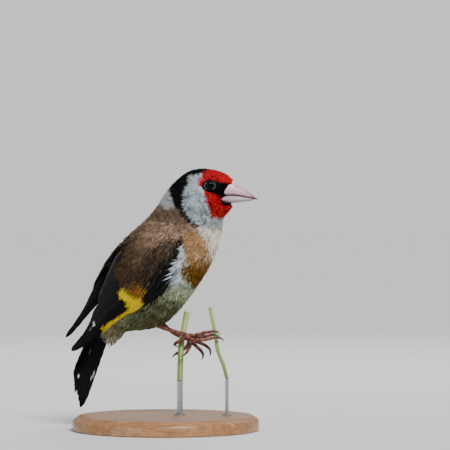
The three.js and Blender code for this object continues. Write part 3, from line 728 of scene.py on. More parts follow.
# clumps of the coat: the nearest of many scattered centres, with its own tone
def clumps(points, size):
    cell = points / size[:, None]
    home = np.floor(cell)
    best = np.full(len(points), np.inf)
    centre = np.zeros_like(points)
    tone = np.zeros(len(points))
    for step in np.ndindex(3, 3, 3):
        other = home + np.array(step) - 1
        draw = [np.modf(np.abs(np.sin(other @ np.array(key)) * 4375.85))[0] for key in (
            (12.99, 78.23, 37.72), (39.35, 11.14, 83.16), (73.16, 52.24, 9.15), (27.17, 61.41, 45.93))]
        spot = other + np.stack(draw[:3], -1)
        gap = np.linalg.norm(cell - spot, axis=1)
        closer = gap < best
        best = np.where(closer, gap, best)
        centre[closer] = spot[closer]
        tone = np.where(closer, draw[3] * 2 - 1, tone)
    return centre * size[:, None], tone


# place on an unwrap of the skin: along a line from tail to bill, and round it
spine = np.array([fromBody(-52, 0, 6), fromBody(-25, 0, -1), fromBody(5, 0, 0), headCentre, billBase])


def unwrap(points):
    best = np.full(len(points), np.inf)
    along = np.zeros(len(points))
    axis = np.zeros_like(points)
    spot = np.zeros_like(points)
    start = 0.0
    for a, b in zip(spine[:-1], spine[1:]):
        step = b - a
        length = np.linalg.norm(step)
        t = np.clip(((points - a) @ step) / length ** 2, 0, 1)
        foot = a + t[:, None] * step
        gap = np.linalg.norm(points - foot, axis=1)
        closer = gap < best
        best = np.where(closer, gap, best)
        along = np.where(closer, start + t * length, along)
        axis[closer] = step / length
        spot[closer] = foot[closer]
        start += length
    away = points - spot
    top = backward - (axis @ backward)[:, None] * axis
    sideways = np.cross(axis, unit(top))
    turn = np.arctan2((away * sideways).sum(1), (away * unit(top)).sum(1))
    return np.stack([0.02 + 0.96 * along / start, 0.5 + 0.48 * turn / math.pi], -1)


# every feather as a few locks, each a taper bent along root, middle and end
def growLocks(name, feathers, shape, material, slot, locks=5, spread=0.28, dark=0.0):
    count = len(feathers["root"])
    template, faces = shape
    dice = np.random.default_rng(len(name) * 17 + count)
    root, facing, lie = feathers["root"], feathers["facing"], feathers["lie"]
    length, half, rise = feathers["length"], feathers["half"], feathers["rise"]
    if "middle" in feathers:
        middle, middleFacing = feathers["middle"], feathers["middleFacing"]
        end, endFacing = feathers["end"], feathers["endFacing"]
    else:
        middle, middleFacing = onSkin(root + lie * length[:, None] * 0.5)
        onward = unit(flatOn(lie, middleFacing))
        end, endFacing = onSkin(middle + onward * length[:, None] * 0.5)
    loose = feathers.get("loose", 0.0)
    middle = mix(middle, root + lie * length[:, None] * 0.5, loose)
    end = mix(end, root + lie * length[:, None], loose)

    rep = np.repeat(np.arange(count), locks)
    total = len(rep)
    over = np.tile(np.linspace(-1, 1, locks), count) + dice.normal(0, 0.12, total)
    stretch = (1 - 0.28 * over ** 2) * dice.uniform(0.82, 1.08, total)
    width = half[rep] / locks * dice.uniform(0.95, 1.45, total)
    along = template[:, 2]
    t = along[None, :] * stretch[:, None]
    b0, b1, b2 = (1 - t) * (1 - 2 * t), 4 * t * (1 - t), t * (2 * t - 1)

    def blend(a, b, c):
        return b0[..., None] * a[rep, None] + b1[..., None] * b[rep, None] + b2[..., None] * c[rep, None]

    spot = blend(root, middle, end)
    up = unit(blend(facing, middleFacing, endFacing))
    run = unit(lie)[rep, None]
    across = unit(np.cross(up, np.broadcast_to(run, up.shape)))
    fan = over[:, None] * half[rep][:, None] * (0.55 + (0.45 + spread) * along[None, :] ** 0.8)
    sway = dice.normal(0, 0.09, total)[:, None] * length[rep][:, None] * along[None, :] ** 1.6
    height = -0.22 + (rise[rep] * dice.uniform(0.75, 1.2, total))[:, None] * (along[None, :] ** 0.75)
    height = height - 0.1 * over[:, None] ** 2 * half[rep][:, None]
    sideStep = template[None, :, 0] * width[:, None] + fan + sway
    upStep = template[None, :, 1] * width[:, None] * 0.42 + height
    points = spot + across * sideStep[..., None] + up * upStep[..., None]

    tone = np.clip(feathers["tone"][rep] + dice.normal(0, 0.24, total), -1, 1)
    seen = root[rep] + lie[rep] * (length[rep] * 0.7)[:, None] * dice.uniform(0.75, 1.25, total)[:, None]
    if "colour" in feathers:
        colour = feathers["colour"][rep]
    else:
        colour = plumage(seen, 0.22, tone, seed=count + 3)
    colour = colour * dice.uniform(0.86, 1.1, total)[:, None]
    # painted shade: each lock darker towards its root, by dark
    shadeAlong = 1 - dark * (1 - along) ** 1.5
    colour = np.clip(colour[:, None, :] * shadeAlong[None, :, None], 0, 1)

    place = unwrap(root)[rep]
    patch = 0.003 * np.stack([template[:, 0] * 0.4, along - 0.5], -1)
    bakeMap = place[:, None, :] + patch[None]
    strand = np.stack([np.broadcast_to(template[:, 0], t.shape), t], -1)
    size = len(template)
    triangles = (faces[None] + (np.arange(total) * size)[:, None, None]).reshape(-1, 3)
    obj = toObject(
        name, points.reshape(-1, 3), triangles,
        colour.reshape(-1, 3), bakeMap.reshape(-1, 2), strand.reshape(-1, 2))
    finishPiece(obj, material, slot)
    print(name + ":", count, "feathers,", len(triangles), "triangles")
    return obj


def scatter(count, density, seed):
    dice = np.random.default_rng(seed)
    a, b, c = (skinPoints[skinFaces[:, i]] for i in range(3))
    crossed = np.cross(b - a, c - a)
    area = np.linalg.norm(crossed, axis=1) / 2
    weight = area * density((a + b + c) / 3)
    chosen = dice.choice(len(area), count, p=weight / weight.sum())
    r1, r2 = np.sqrt(dice.uniform(0, 1, count)), dice.uniform(0, 1, count)
    roots = (1 - r1)[:, None] * a[chosen] + (r1 * (1 - r2))[:, None] * b[chosen]
    roots = roots + (r1 * r2)[:, None] * c[chosen]
    return roots, unit(crossed)[chosen]


def faceShare(points):
    return ease(15, 8, np.linalg.norm(points - billBase, axis=1))


def headShare(points):
    return ease(83, 89, points[:, 2] + 0.12 * points[:, 0])


def coatDensity(points):
    c = coatSettings
    density = between((c["densityBody"], c["densityHead"]), headShare(points))
    density = density + (c["densityFace"] - c["densityHead"]) * faceShare(points)
    eyeGap = eyeGapOf(points)
    aside = besideHead(points)
    density = density * (1 + 1.6 * ease(4.6, 3.6, eyeGap) * aside)
    density = np.where((eyeGap < eyeSettings["bare"]) & aside, 0, density)
    return np.where(besideBill(points) > 0.9, 0, density)


# the part of the coat that each feather belongs to
def coatGroups(root):
    body = toBody(root)
    head = headShare(root) > 0.5
    group = np.full(len(root), "belly", object)
    group[(body[:, 2] > -2) & (body[:, 0] > -30)] = "back"
    group[(body[:, 2] <= -2) & (body[:, 0] > 0)] = "breast"
    group[head] = "nape"
    group[head & (root[:, 0] > 8)] = "cheeks"
    group[faceShare(root) > 0.35] = "face"
    return group


def makeCoat():
    c = coatSettings
    root, facing = scatter(c["feathers"], coatDensity, 21)
    dice = np.random.default_rng(22)
    count = len(root)
    head, face = headShare(root), faceShare(root)
    length = between((c["lengthBody"], c["lengthHead"]), head) + (c["lengthFace"] - c["lengthHead"]) * face
    calm = ease(2.2, 5.5, eyeGapOf(root))
    length = length * dice.uniform(0.8, 1.2, count) * (0.75 + 0.25 * calm)
    lie = coatLie(root, facing)
    sway = dice.normal(0, 0.14, count)[:, None] * np.cross(facing, lie)
    size = 2.6 - 0.9 * head - 0.5 * face
    centre, shared = clumps(root, size)
    offset = np.clip(((root - centre) * lie).sum(1) / size, -0.7, 0.7)
    feathers = {
        "root": root,
        "facing": facing,
        "lie": unit(lie + sway + (centre - root) / size[:, None] * 0.22),
        "length": length,
        "half": length * (0.24 + 0.1 * head),
        "rise": coatDepth(root) * dice.uniform(0.75, 1.05, count) * (0.75 + 0.25 * calm) * (1 + 0.3 * offset),
        # tone: random, the clump's own, and by offset painted shade at the start of each clump with painted
        # light further along it
        "tone": (dice.normal(0, 0.3, count) + 0.5 * shared + (0.9 + 0.7 * face) * offset).clip(-1, 1),
    }
    group = coatGroups(root)
    for name in ("back", "breast", "belly", "nape", "cheeks", "face"):
        members = np.where(group == name)[0]
        parts = np.array_split(members, math.ceil(len(members) / c["pieceLimit"]))
        for number, part in enumerate(parts, 1):
            chosen = {key: value[part] for key, value in feathers.items()}
            title = f"coat_{name}" + (f"_{number}" if len(parts) > 1 else "")
            if name in ("face", "cheeks", "nape"):
                growLocks(title, chosen, smallLock, faceMaterial, "face_plumage", c["locksHead"], dark=0.4)
            else:
                growLocks(title, chosen, shortLock, coatMaterial, "body_plumage", c["locksBody"], dark=0.35)


makeCoat()

# coverts over the tail's root
tailCovertSettings = {
    "count": 420,
    "start": -33.0,     # along the spine
    "length": 6.5,
    "along": (-0.4, 0.24, -0.885),
    "tints": [tint(150, 148, 112), tint(84, 78, 40), tint(206, 208, 186)],     # middle, dark and pale
}


def makeTailCoverts():
    s = tailCovertSettings
    root, facing = scatter(s["count"] * 30, lambda p: np.ones(len(p)), 61)
    body = toBody(root)
    keep = np.where(body[:, 0] < s["start"])[0][:s["count"]]
    root, facing, body = root[keep], facing[keep], body[keep]
    dice = np.random.default_rng(62)
    count = len(root)
    share = ease(s["start"], s["start"] - 8, body[:, 0])
    lie = mix(-forward, np.array(s["along"]), share) + dice.normal(0, 0.08, (count, 3))
    tone = dice.normal(0, 0.5, count).clip(-1, 1)
    middle, dark, pale = s["tints"]
    colour = mix(mix(middle, dark, np.clip(-tone + 0.2, 0, 1) * 0.8), pale, np.clip(tone, 0, 1) * 0.8)
    length = s["length"] * dice.uniform(0.7, 1.15, count)
    growLocks("coat_tail_base", {
        "root": root, "facing": facing, "lie": unit(lie), "length": length, "half": length * 0.2,
        "rise": np.full(count, 0.7), "tone": tone, "loose": 0.8, "colour": colour,
    }, longLock, coatMaterial, "body_plumage", 5)


makeTailCoverts()

# wings: a sheet through the leading edge, the crest and the inner edge of each folded wing
wingSettings = {
    "right": [
        (16.5, (13.6, 4.6), (14.0, 6.6), (13.2, 8.6)),
        (14, (15.4, 1.6), (16.2, 7.0), (12.2, 13.6)),
        (8, (17.2, -2.4), (18.3, 8.2), (9.0, 17.9)),
        (-2, (17.8, -5.6), (18.9, 8.0), (5.8, 19.0)),
        (-10, (17.2, -6.0), (18.2, 7.4), (4.4, 18.4)),
        (-18, (16.2, -3.0), (16.4, 6.8), (3.8, 16.4)),
        (-28, (13.0, -0.2), (13.2, 6.9), (3.0, 14.2)),
        (-38, (9.2, 2.2), (9.4, 6.8), (2.6, 12.0)),
        (-48, (5.2, 5.2), (5.3, 7.7), (1.8, 10.6)),
        (-56, (1.6, 7.7), (1.7, 8.3), (1.2, 8.9)),
    ],
    "left": [
        (16.5, (13.6, 4.6), (14.0, 6.6), (13.2, 8.6)),
        (14, (15.4, 1.6), (16.2, 7.0), (12.2, 13.6)),
        (8, (17.2, -1.6), (18.0, 8.0), (9.0, 17.8)),
        (-2, (18.6, -1.4), (18.0, 10.6), (5.6, 19.6)),
        (-10, (18.8, 1.6), (16.6, 12.8), (4.0, 20.0)),
        (-18, (17.8, 6.0), (14.6, 14.6), (3.2, 19.4)),
        (-28, (15.8, 10.4), (12.0, 15.6), (3.4, 17.8)),
        (-38, (13.6, 12.0), (10.2, 14.8), (4.4, 15.6)),
        (-48, (11.0, 12.8), (9.0, 14.2), (6.0, 14.4)),
        (-54, (8.9, 13.4), (8.6, 13.8), (8.0, 13.9)),
    ],
}
# rows of feathers; each pair runs from the first feather of the row to the last
tierKeys = ("name", "count", "rootPlace", "rootOver", "tipPlace", "tipOver", "half", "lift", "long")
wingTiers = [dict(zip(tierKeys, row)) for row in (
    ("primary", 9, (-8, -16), (0.04, 0.6), (-55.4, -37), (0.35, 0.8), (1.9, 2.6), (-0.5, -0.2), True),
    ("secondary", 6, (-12, -12), (0.42, 0.8), (-37, -30), (0.5, 0.82), (2.5, 2.8), (-0.1, 0.3), True),
    ("tertial", 3, (-8, -6), (0.8, 0.86), (-29, -21), (0.85, 0.88), (3.0, 3.0), (0.45, 0.75), True),
    ("primaryCovert", 5, (4, 0), (0.06, 0.28), (-23, -16), (0.07, 0.3), (1.7, 1.9), (0.1, 0.3), False),
    ("greaterCovert", 8, (-7, -7), (0.28, 0.82), (-20, -19), (0.34, 0.84), (2.1, 2.2), (0.05, 0.25), False),
    ("thumb", 3, (8, 6), (0.05, 0.2), (-8, -6), (0.04, 0.2), (1.5, 1.6), (0.5, 0.65), False),
)]
wingSpots = [     # pale tips, by place on the side of the bird
    (-29.3, 43.3, 0.42, 0.9, 1.0), (-30.9, 41.0, 0.25, 0.4, 0.3),
]


# a smooth curve through keyed values
def through(keys, values, at):
    keys = np.asarray(keys, float)
    values = np.asarray(values, float)
    slope = np.gradient(values, keys, axis=0)
    at = np.clip(at, keys[0], keys[-1])
    k = np.clip(np.searchsorted(keys, at, side="right") - 1, 0, len(keys) - 2)
    gap = (keys[k + 1] - keys[k])[:, None]
    t = ((at - keys[k])[:, None]) / gap
    a, b = values[k], values[k + 1]
    return ((2 * t ** 3 - 3 * t ** 2 + 1) * a + (t ** 3 - 2 * t ** 2 + t) * gap * slope[k]
            + (-2 * t ** 3 + 3 * t ** 2) * b + (t ** 3 - t ** 2) * gap * slope[k + 1])


def wingSheet(side):
    sign = -1 if side == "right" else 1
    ribs = wingSettings[side]
    keys = [-rib[0] for rib in ribs]

    def point(place, over):
        place, over = (np.asarray(a, float).ravel() for a in (place, over))
        lead, crest, inner = (through(keys, [rib[i] for rib in ribs], -place) for i in (1, 2, 3))
        s = over[:, None]
        row = (2 * (s - 0.5) * (s - 1)) * lead + 4 * s * (1 - s) * crest + (2 * s * (s - 0.5)) * inner
        return fromBody(place, sign * row[:, 0], row[:, 1])

    def facing(place, over):
        step = 0.02
        lengthwise = point(place + 0.5, over) - point(place - 0.5, over)
        crosswise = point(place, np.minimum(over + step, 1)) - point(place, np.maximum(over - step, 0))
        return unit(np.cross(crosswise, lengthwise)) * sign

    return point, facing


# a vane as a thin plate on a grid, across, along and through
def vaneShape(acrossSteps, alongSteps):
    bm = bmesh.new()
    bmesh.ops.create_grid(bm, x_segments=acrossSteps, y_segments=alongSteps, size=1.0)
    grown = bmesh.ops.extrude_face_region(bm, geom=bm.faces[:])["geom"]
    lower = [g for g in grown if isinstance(g, bmesh.types.BMVert)]
    bmesh.ops.translate(bm, vec=(0, 0, -1), verts=lower)
    bmesh.ops.recalc_face_normals(bm, faces=bm.faces)
    bmesh.ops.triangulate(bm, faces=bm.faces)
    bm.verts.index_update()
    shape = np.array([v.co[:] for v in bm.verts])
    shape[:, 1] = (shape[:, 1] + 1) / 2
    faces = np.array([[v.index for v in f.verts] for f in bm.faces])
    bm.free()
    return shape, faces


longVane = vaneShape(8, 34)
shortVane = vaneShape(6, 16)


def vanePoints(shape, centre, across, up, half, lean, dice, blunt=0.9):
    x, t, depth = shape.T
    width = np.minimum(1, 0.45 + (t / 0.3) * 0.55)
    width = width * np.sqrt(np.clip(1 - ((t - blunt + 0.12) / (1.12 - blunt)).clip(0, 1) ** 2.4, 0.02, 1))
    waves = 1 + 0.035 * np.sin(t * 61 + dice.uniform(0, 6)) + 0.03 * np.sin(t * 137 + dice.uniform(0, 6))
    offset = x * half * width * np.where(np.abs(x) > 0.9, waves, 1)
    shaft = np.exp(-(x / 0.09) ** 2) * 0.16 * (1 - 0.7 * t)
    camber = -0.045 * offset ** 2 + shaft + lean * offset
    thick = 0.1 + 0.12 * (1 - np.abs(x)) * (1 - 0.6 * t)
    return centre + across * offset[:, None] + up * (camber + depth * thick)[:, None]


def vaneColour(tier, points, shape, number, dice):
    x, t, _ = shape.T
    near = nearSide(points)
    colour = paints["black"] * dice.uniform(0.8, 1.6)
    colour = mix(colour, tint(40, 38, 36), np.exp(-(x / 0.07) ** 2) * 0.6)
    wobbleX = near[:, 0] + 0.5 * np.sin(t * 47 + x * 3 + number) + dice.normal(0, 0.12, len(points))
    wobbleZ = near[:, 2] + 0.35 * np.sin(t * 61 + number * 2)
    bar = inside(wobbleX, wobbleZ, marks["bar"])
    yellow = mix(paints["yellow"], paints["amber"], ease(0.45, 0.0, t) * 0.35)
    colour = np.where(bar[:, None], yellow, colour)
    for spotX, spotZ, wide, high, share in wingSpots:
        spot = ((near[:, 0] - spotX) / wide) ** 2 + ((near[:, 2] - spotZ) / high) ** 2 < 1
        colour = mix(colour, paints["white"], spot * share)
    if tier == "tertial":
        colour = mix(colour, paints["mantlePale"], (np.abs(x) > 0.78) * 0.6 * ~bar)
    return colour


# each vane has its own cell of the bake map
def vaneMap(shape, cell, columns, rows):
    x, t, _ = shape.T
    column, row = cell % columns, cell // columns
    return np.stack([(column + 0.5 + 0.42 * x) / columns, (row + 0.06 + 0.88 * t) / rows], -1)


# barbs run out from the shaft at a slant
def barbMap(shape, count, slant):
    x, t, _ = shape.T
    return np.stack([t * count - np.abs(x) * slant, x], -1)


def joinVanes(name, vanes, slot, replaced):
    points, faces, *maps = zip(*vanes)
    starts = np.cumsum([0] + [len(rows) for rows in points[:-1]])
    points = np.concatenate(points)
    faces = np.concatenate([rows + start for rows, start in zip(faces, starts)])
    obj = toObject(name, points, faces, *(np.concatenate(rows) for rows in maps))
    finishPiece(obj, vaneMaterial, slot, replaced)
    print(name + ":", len(faces), "triangles")
    return points, faces


def makeWing(side):
    sign = -1 if side == "right" else 1
    point, facing = wingSheet(side)
    dice = np.random.default_rng(31 if side == "right" else 32)
    vanes = []
    for tier in wingTiers:
        shape, faces = longVane if tier["long"] else shortVane
        for number in range(tier["count"]):
            share = number / (tier["count"] - 1)
            now = {key: between(tier[key], share) for key in tierKeys[2:8]}
            place = between((now["rootPlace"], now["tipPlace"]), shape[:, 1])
            over = between((now["rootOver"], now["tipOver"]), shape[:, 1])
            up = facing(place, over)
            onward = unit(point(place - 0.6, over) - point(place + 0.6, over))
            across = unit(np.cross(up, onward)) * sign
            centre = point(place, over) + up * now["lift"]
            points = vanePoints(shape, centre, across, up, now["half"], 0.09, dice)
            colour = vaneColour(tier["name"], points, shape, number, dice)
            vanes.append((points, faces, colour, vaneMap(shape, len(vanes), 6, 6), barbMap(shape, 160, 22)))
    points, faces = joinVanes("wing_feathers_" + side, vanes, "wing_feather", "wing_" + side)
    return BVHTree.FromPolygons(points.tolist(), faces.tolist())


wingTrees = {side: makeWing(side) for side in ("right", "left")}

# loose plumes of the shoulder over the coverts
plumeSettings = {
    "right": {"count": 640, "place": (-10.5, 9), "over": (0.23, 0.86)},
    "left": {"count": 470, "place": (-4, 9), "over": (0.3, 0.9)},
    "front": 90,         # of these lie over the roots of the outer coverts
    "frontPlace": (7, 13),
    "frontOver": (0.02, 0.34),
    "length": 7.0,
    "rise": 1.25,
}


def makePlumes(side):
    s = plumeSettings
    own = s[side]
    point, facing = wingSheet(side)
    dice = np.random.default_rng(71 if side == "right" else 72)
    count = own["count"]
    place = dice.uniform(*own["place"], count)
    over = dice.uniform(*own["over"], count)
    front = np.arange(count) < s["front"]
    place = np.where(front, dice.uniform(*s["frontPlace"], count), place)
    over = np.where(front, dice.uniform(*s["frontOver"], count), over)
    length = s["length"] * dice.uniform(0.6, 1.15, count) * (1 - 0.25 * ease(-6, 9, place))
    drift = dice.normal(0, 0.03, count) - 0.02
    spots, ups = [], []
    for share, sink in ((0, 0.9), (0.5, 0.25), (1, 0.0)):
        up = facing(place - length * share, over + drift * share)
        spots.append(point(place - length * share, over + drift * share) - up * sink)
        ups.append(up)
    tone = dice.normal(0, 0.6, count).clip(-1, 1)
    obj = growLocks("coat_shoulder_" + side, {
        "root": spots[0], "facing": ups[0], "lie": unit(spots[2] - spots[0]), "length": length,
        "middle": spots[1], "middleFacing": ups[1], "end": spots[2], "endFacing": ups[2],
        "half": length * 0.17, "rise": s["rise"] * dice.uniform(0.8, 1.1, count), "tone": tone,
    }, longLock, coatMaterial, "body_plumage", 5, dark=0.3)
    return BVHTree.FromPolygons(pointsOf(obj.data).tolist(), [p.vertices[:] for p in obj.data.polygons])


# long wisps of the flank that lie over the leading edge of the wing
wispSettings = {
    "count": 190,
    "edge": [(7.0, 75.4), (7.3, 73.0), (7.4, 70.2), (6.8, 66.9), (5.9, 63.4), (4.6, 60.4), (1.6, 57.4)],
    "length": 7.4,
    "rise": 0.4,
    "hang": ((-0.9, 0.0, -0.42), (-0.64, 0.0, -0.77)),     # beside the wing, then under it
}


def makeWisps(side, plumeTree):
    s = wispSettings
    dice = np.random.default_rng(81)
    edge = np.array(s["edge"])
    share = dice.uniform(0, 1, s["count"]) * (len(edge) - 1)
    step = np.minimum(share.astype(int), len(edge) - 2)
    start = between((edge[step], edge[step + 1]), (share - step)[:, None])
    start = start + dice.uniform(-0.2, 0.9, s["count"])[:, None] * np.array([0.8, -0.3])
    root, facing = [], []
    for x, z in start:
        spot, normal, _, _ = skinTree.ray_cast(Vector((x, -60, z)), Vector((0, 1, 0)))
        root.append(spot)
        facing.append(normal)
    root, facing = np.array(root, float), np.array(facing, float)
    low = ease(65, 59, start[:, 1])
    upper, lower = np.array(s["hang"])
    hang = mix(upper, lower, low) + dice.normal(0, 0.13, (len(root), 3))
    outward = np.array([0.0, -1.0, 0.0])
    if side == "left":
        root = root - 2 * ((root - bodyCentre) @ leftward)[:, None] * leftward
        hang, outward = mirrored(hang), mirrored(outward)
        root, facing = onSkin(root)
    lie = unit(flatOn(hang, facing))

    def lifted(points):
        laid = points + facing * 0.8
        for i, point in enumerate(points):
            for tree in (wingTrees[side], plumeTree):
                hit, _, _, _ = tree.ray_cast(Vector(point + outward * 9), Vector(-outward), 12)
                if hit is not None and (np.array(hit) - laid[i]) @ outward > -0.3:
                    laid[i] = np.array(hit) + outward * 0.3
        return laid

    reach = 0.3 + 0.7 * np.exp(-((start[:, 1] - 66) / 5.0) ** 2)
    length = s["length"] * dice.uniform(0.5, 1.25, len(root)) * reach
    tone = dice.uniform(-0.3, 1, len(root))
    pale = mix(paints["frost"], paints["white"], np.clip(tone, 0, 1))
    growLocks("coat_wisps_" + side, {
        "root": root - facing * 0.4, "facing": facing, "lie": lie, "length": length,
        "middle": lifted(root + lie * (length * 0.5)[:, None]), "middleFacing": facing,
        "end": lifted(root + lie * length[:, None]), "endFacing": facing,
        "half": 0.26 + length * 0.05, "rise": s["rise"] * dice.uniform(0.8, 1.1, len(root)), "tone": tone,
        # lower wisps take some of the belly colour, with its painted shade
        "colour": mix(pale, paints["belly"], low * 0.5),
    }, longLock, coatMaterial, "body_plumage", 4, spread=0.8)


for side in ("right", "left"):
    makeWisps(side, makePlumes(side))

# tail: two halves that meet as a low roof
tailSettings = {
    "longTip": (-36.5, 17.4, 8.2),
    "along": (-0.4, 0.24, -0.885),
    "roll": 19,
    "roof": 35,
    "length": 45,
    "halfRoot": 4.6,
    "halfTip": 8.6,
    "fork": 9.4,
    "pairs": 6,
    "vaneHalf": 1.95,
}
tailSpotsAndHighlight = [     # pale marks by place on the side of the bird, with their lean; the faint last one is a painted highlight
    (-36.8, 20.9, 0.42, 0.9, 0.2, 1.0), (-30.9, 20.9, 0.24, 2.0, 0.52, 0.75),
    # painted highlight on the tail
    (-31.9, 31.1, 0.2, 1.6, 0.22, 0.15),
]


def makeTail():
    s = tailSettings
    along = unit(np.array(s["along"]))
    across = np.array([0.0, 1.0, 0.0])
    across = unit(across - (across @ along) * along)
    turn = -math.radians(s["roll"])
    across = across * math.cos(turn) + np.cross(along, across) * math.sin(turn)
    up = unit(np.cross(across, along))
    rise = math.tan(math.radians(s["roof"]))
    tipSide = s["halfTip"] * (1 - 0.5 / s["pairs"])
    ridge = np.array(s["longTip"]) + across * tipSide + up * tipSide * rise
    dice = np.random.default_rng(41)
    shape, faces = longVane
    x, t, _ = shape.T
    vanes = []
    for sideSign in (-1, 1):
        for number in range(s["pairs"]):
            share = (number + 0.5) / s["pairs"]
            reach = s["fork"] * (1 - number / (s["pairs"] - 1))
            slope = unit(across - up * sideSign * rise)
            face = unit(np.cross(slope, along))
            half = between((s["halfRoot"], s["halfTip"]), shape[:, 1:2])
            centre = ridge - along * (s["length"] - (s["length"] - reach) * shape[:, 1:2])
            centre = centre + across * (sideSign * half * share) - up * (half * share * rise)
            centre = centre - face * (0.13 * number)
            points = vanePoints(shape, centre, slope, face, s["vaneHalf"], -sideSign * 0.05, dice, 0.94)
            spot = (t > 0.76) & (t < 0.86) & (x < -0.4) & (number >= 3) & (sideSign > 0)
            colour = np.where(spot[:, None], paints["white"], paints["black"] * dice.uniform(0.8, 1.5))
            for spotX, spotZ, wide, high, lean, amount in tailSpotsAndHighlight:
                dx, dz = points[:, 0] - spotX, points[:, 2] - spotZ
                spot = ((dx - dz * lean) / wide) ** 2 + (dz / high) ** 2 < 1
                colour = mix(colour, paints["white"], spot * amount)
            vanes.append((points, faces, colour, vaneMap(shape, len(vanes), 4, 3), barbMap(shape, 190, 20)))
    joinVanes("tail_feathers", vanes, "tail_feather", "tail")


makeTail()

# bill: the solids made smooth, pink horn that darkens to the tip
billSettings = {
    "voxel": 0.2,
    "smoothing": 6,
    "base": 25.0,
    "tip": 38.0,
    "lift": 0.55,        # the lower half is this much shallower than its solid
    "mouthPlace": (22.4, 23.7, 26.1, 28.1, 30.1, 34.1, 37.2, 38.5),
    "mouthHeight": (95.3, 95.5, 95.9, 95.8, 95.55, 94.85, 94.1, 93.8),
}
hornMaterial = grainMaterial(
    "billHorn",
    {"Roughness": 0.34, "Subsurface Weight": 0.12, "Subsurface Radius": (0.0012, 0.0006, 0.0005)},
    1.0, [(0.3, (0.78, 0.74, 0.74)), (0.7, (1.05, 1.03, 1.03))],
    bump=(0.2, 0.00008), stretch=(250, 900, 1400), detail=4.0)


def mouthLine(places):
    return np.interp(places, billSettings["mouthPlace"], billSettings["mouthHeight"])


# brings the two halves together along the line of the mouth
def closeBill(bm, upper):
    s = billSettings
    points = np.array([v.co[:] for v in bm.verts]) / mm
    sign = 1 if upper else -1
    places = np.arange(22.2, 38.6, 0.4)
    edge = np.full(len(places), np.nan)
    for i, place in enumerate(places):
        slab = points[np.abs(points[:, 0] - place) < 0.3, 2]
        edge[i] = (slab * sign).min() * sign if len(slab) else np.nan
    known = ~np.isnan(edge)
    cut = np.interp(points[:, 0], places[known], edge[known])
    line = mouthLine(points[:, 0]) - (0.3 * ease(27, 29.5, points[:, 0]) if upper else -0.05)
    step = np.maximum((cut - line) * sign, 0) * ease(38.2, 37.2, points[:, 0])
    points[:, 2] -= sign * step * ease(2.4, 0, (points[:, 2] - cut) * sign)
    if not upper:
        low = ease(line - 1.2, line - 2.4, points[:, 2]) * ease(36, 30, points[:, 0])
        points[:, 2] += s["lift"] * low
    for vert, point in zip(bm.verts, points):
        vert.co = point * mm


def makeBill(name):
    rough = objectFrom(solidCopy(name), "rough")
    bm = bmesh.new()
    bm.from_mesh(remeshed(rough, billSettings["voxel"]))
    closeBill(bm, name == "bill_upper")
    soften(bm, bm.verts, billSettings["smoothing"])
    bmesh.ops.triangulate(bm, faces=bm.faces)
    obj = objectFrom(bm, name + "_horn")
    points = pointsOf(obj.data)
    reach = ease(billSettings["base"], billSettings["tip"], points[:, 0])
    colour = mix(tint(238, 202, 216), tint(196, 164, 176), reach)
    colour = mix(colour, tint(92, 66, 66), ease(0.7, 1.0, reach))
    if name == "bill_upper":
        gape = ease(0.45, 0.15, points[:, 2] - mouthLine(points[:, 0]))
        top = ease(98.6, 100.4, points[:, 2] + 0.62 * (points[:, 0] - 28))
        colour = mix(colour, tint(150, 116, 120), top * 0.45)
    else:
        gape = ease(0.5, 0.25, mouthLine(points[:, 0]) - points[:, 2])
        colour = mix(colour, tint(146, 136, 152), 0.75)
    colour = mix(colour, tint(84, 48, 42), gape * 0.8)
    paintMesh(obj.data, colour)
    finishPiece(obj, hornMaterial, "bill_horn", name)
    print(name + ":", len(obj.data.polygons), "triangles")


for name in ("bill_upper", "bill_lower"):
    makeBill(name)


# eyes: dark glossy balls under lids with a thin pale edge
eyeMaterial = grainMaterial(
    "eyeGloss", {"Roughness": 0.05, "Specular IOR Level": 0.07},
    2600, [(0.3, (0.7,) * 3), (0.7, (1.1,) * 3)])
lidMaterial = grainMaterial(
    "lidSkin", {"Roughness": 0.5, "Specular IOR Level": 0.2},
    3800, [(0.3, (0.5,) * 3), (0.7, (1.1,) * 3)], bump=(0.5, 0.0001))


def makeEye(side):
    s = eyeSettings
    sign = -1 if side == "right" else 1
    middle = Vector((s["x"], headMid + sign * s["offset"], s["z"])) * mm
    bm = bmesh.new()
    bmesh.ops.create_uvsphere(bm, u_segments=48, v_segments=32, radius=(s["radius"] - 0.08) * mm)
    bmesh.ops.translate(bm, vec=middle, verts=bm.verts)
    ball = objectFrom(bm, "eyeball_" + side)
    points = pointsOf(ball.data)
    away = np.hypot(points[:, 0] - s["x"], points[:, 2] - s["z"])
    iris = ease(1.35, 1.5, away) * ease(2.2, 1.9, away)
    paintMesh(ball.data, mix(tint(3, 3, 4), tint(26, 16, 13), iris))
    finishPiece(ball, eyeMaterial, "eye_gloss", "eye_" + side)
    makeLid(side, sign, np.array(middle) / mm)
    makeBrow(side, sign, np.array(middle) / mm)


# the opening of the lids is wider than high: squeezes heights near the middle of the eye
def squeeze(radius):
    return 0.75 + 0.17 * ease(eyeSettings["lid"], eyeSettings["radius"] + 0.3, radius)


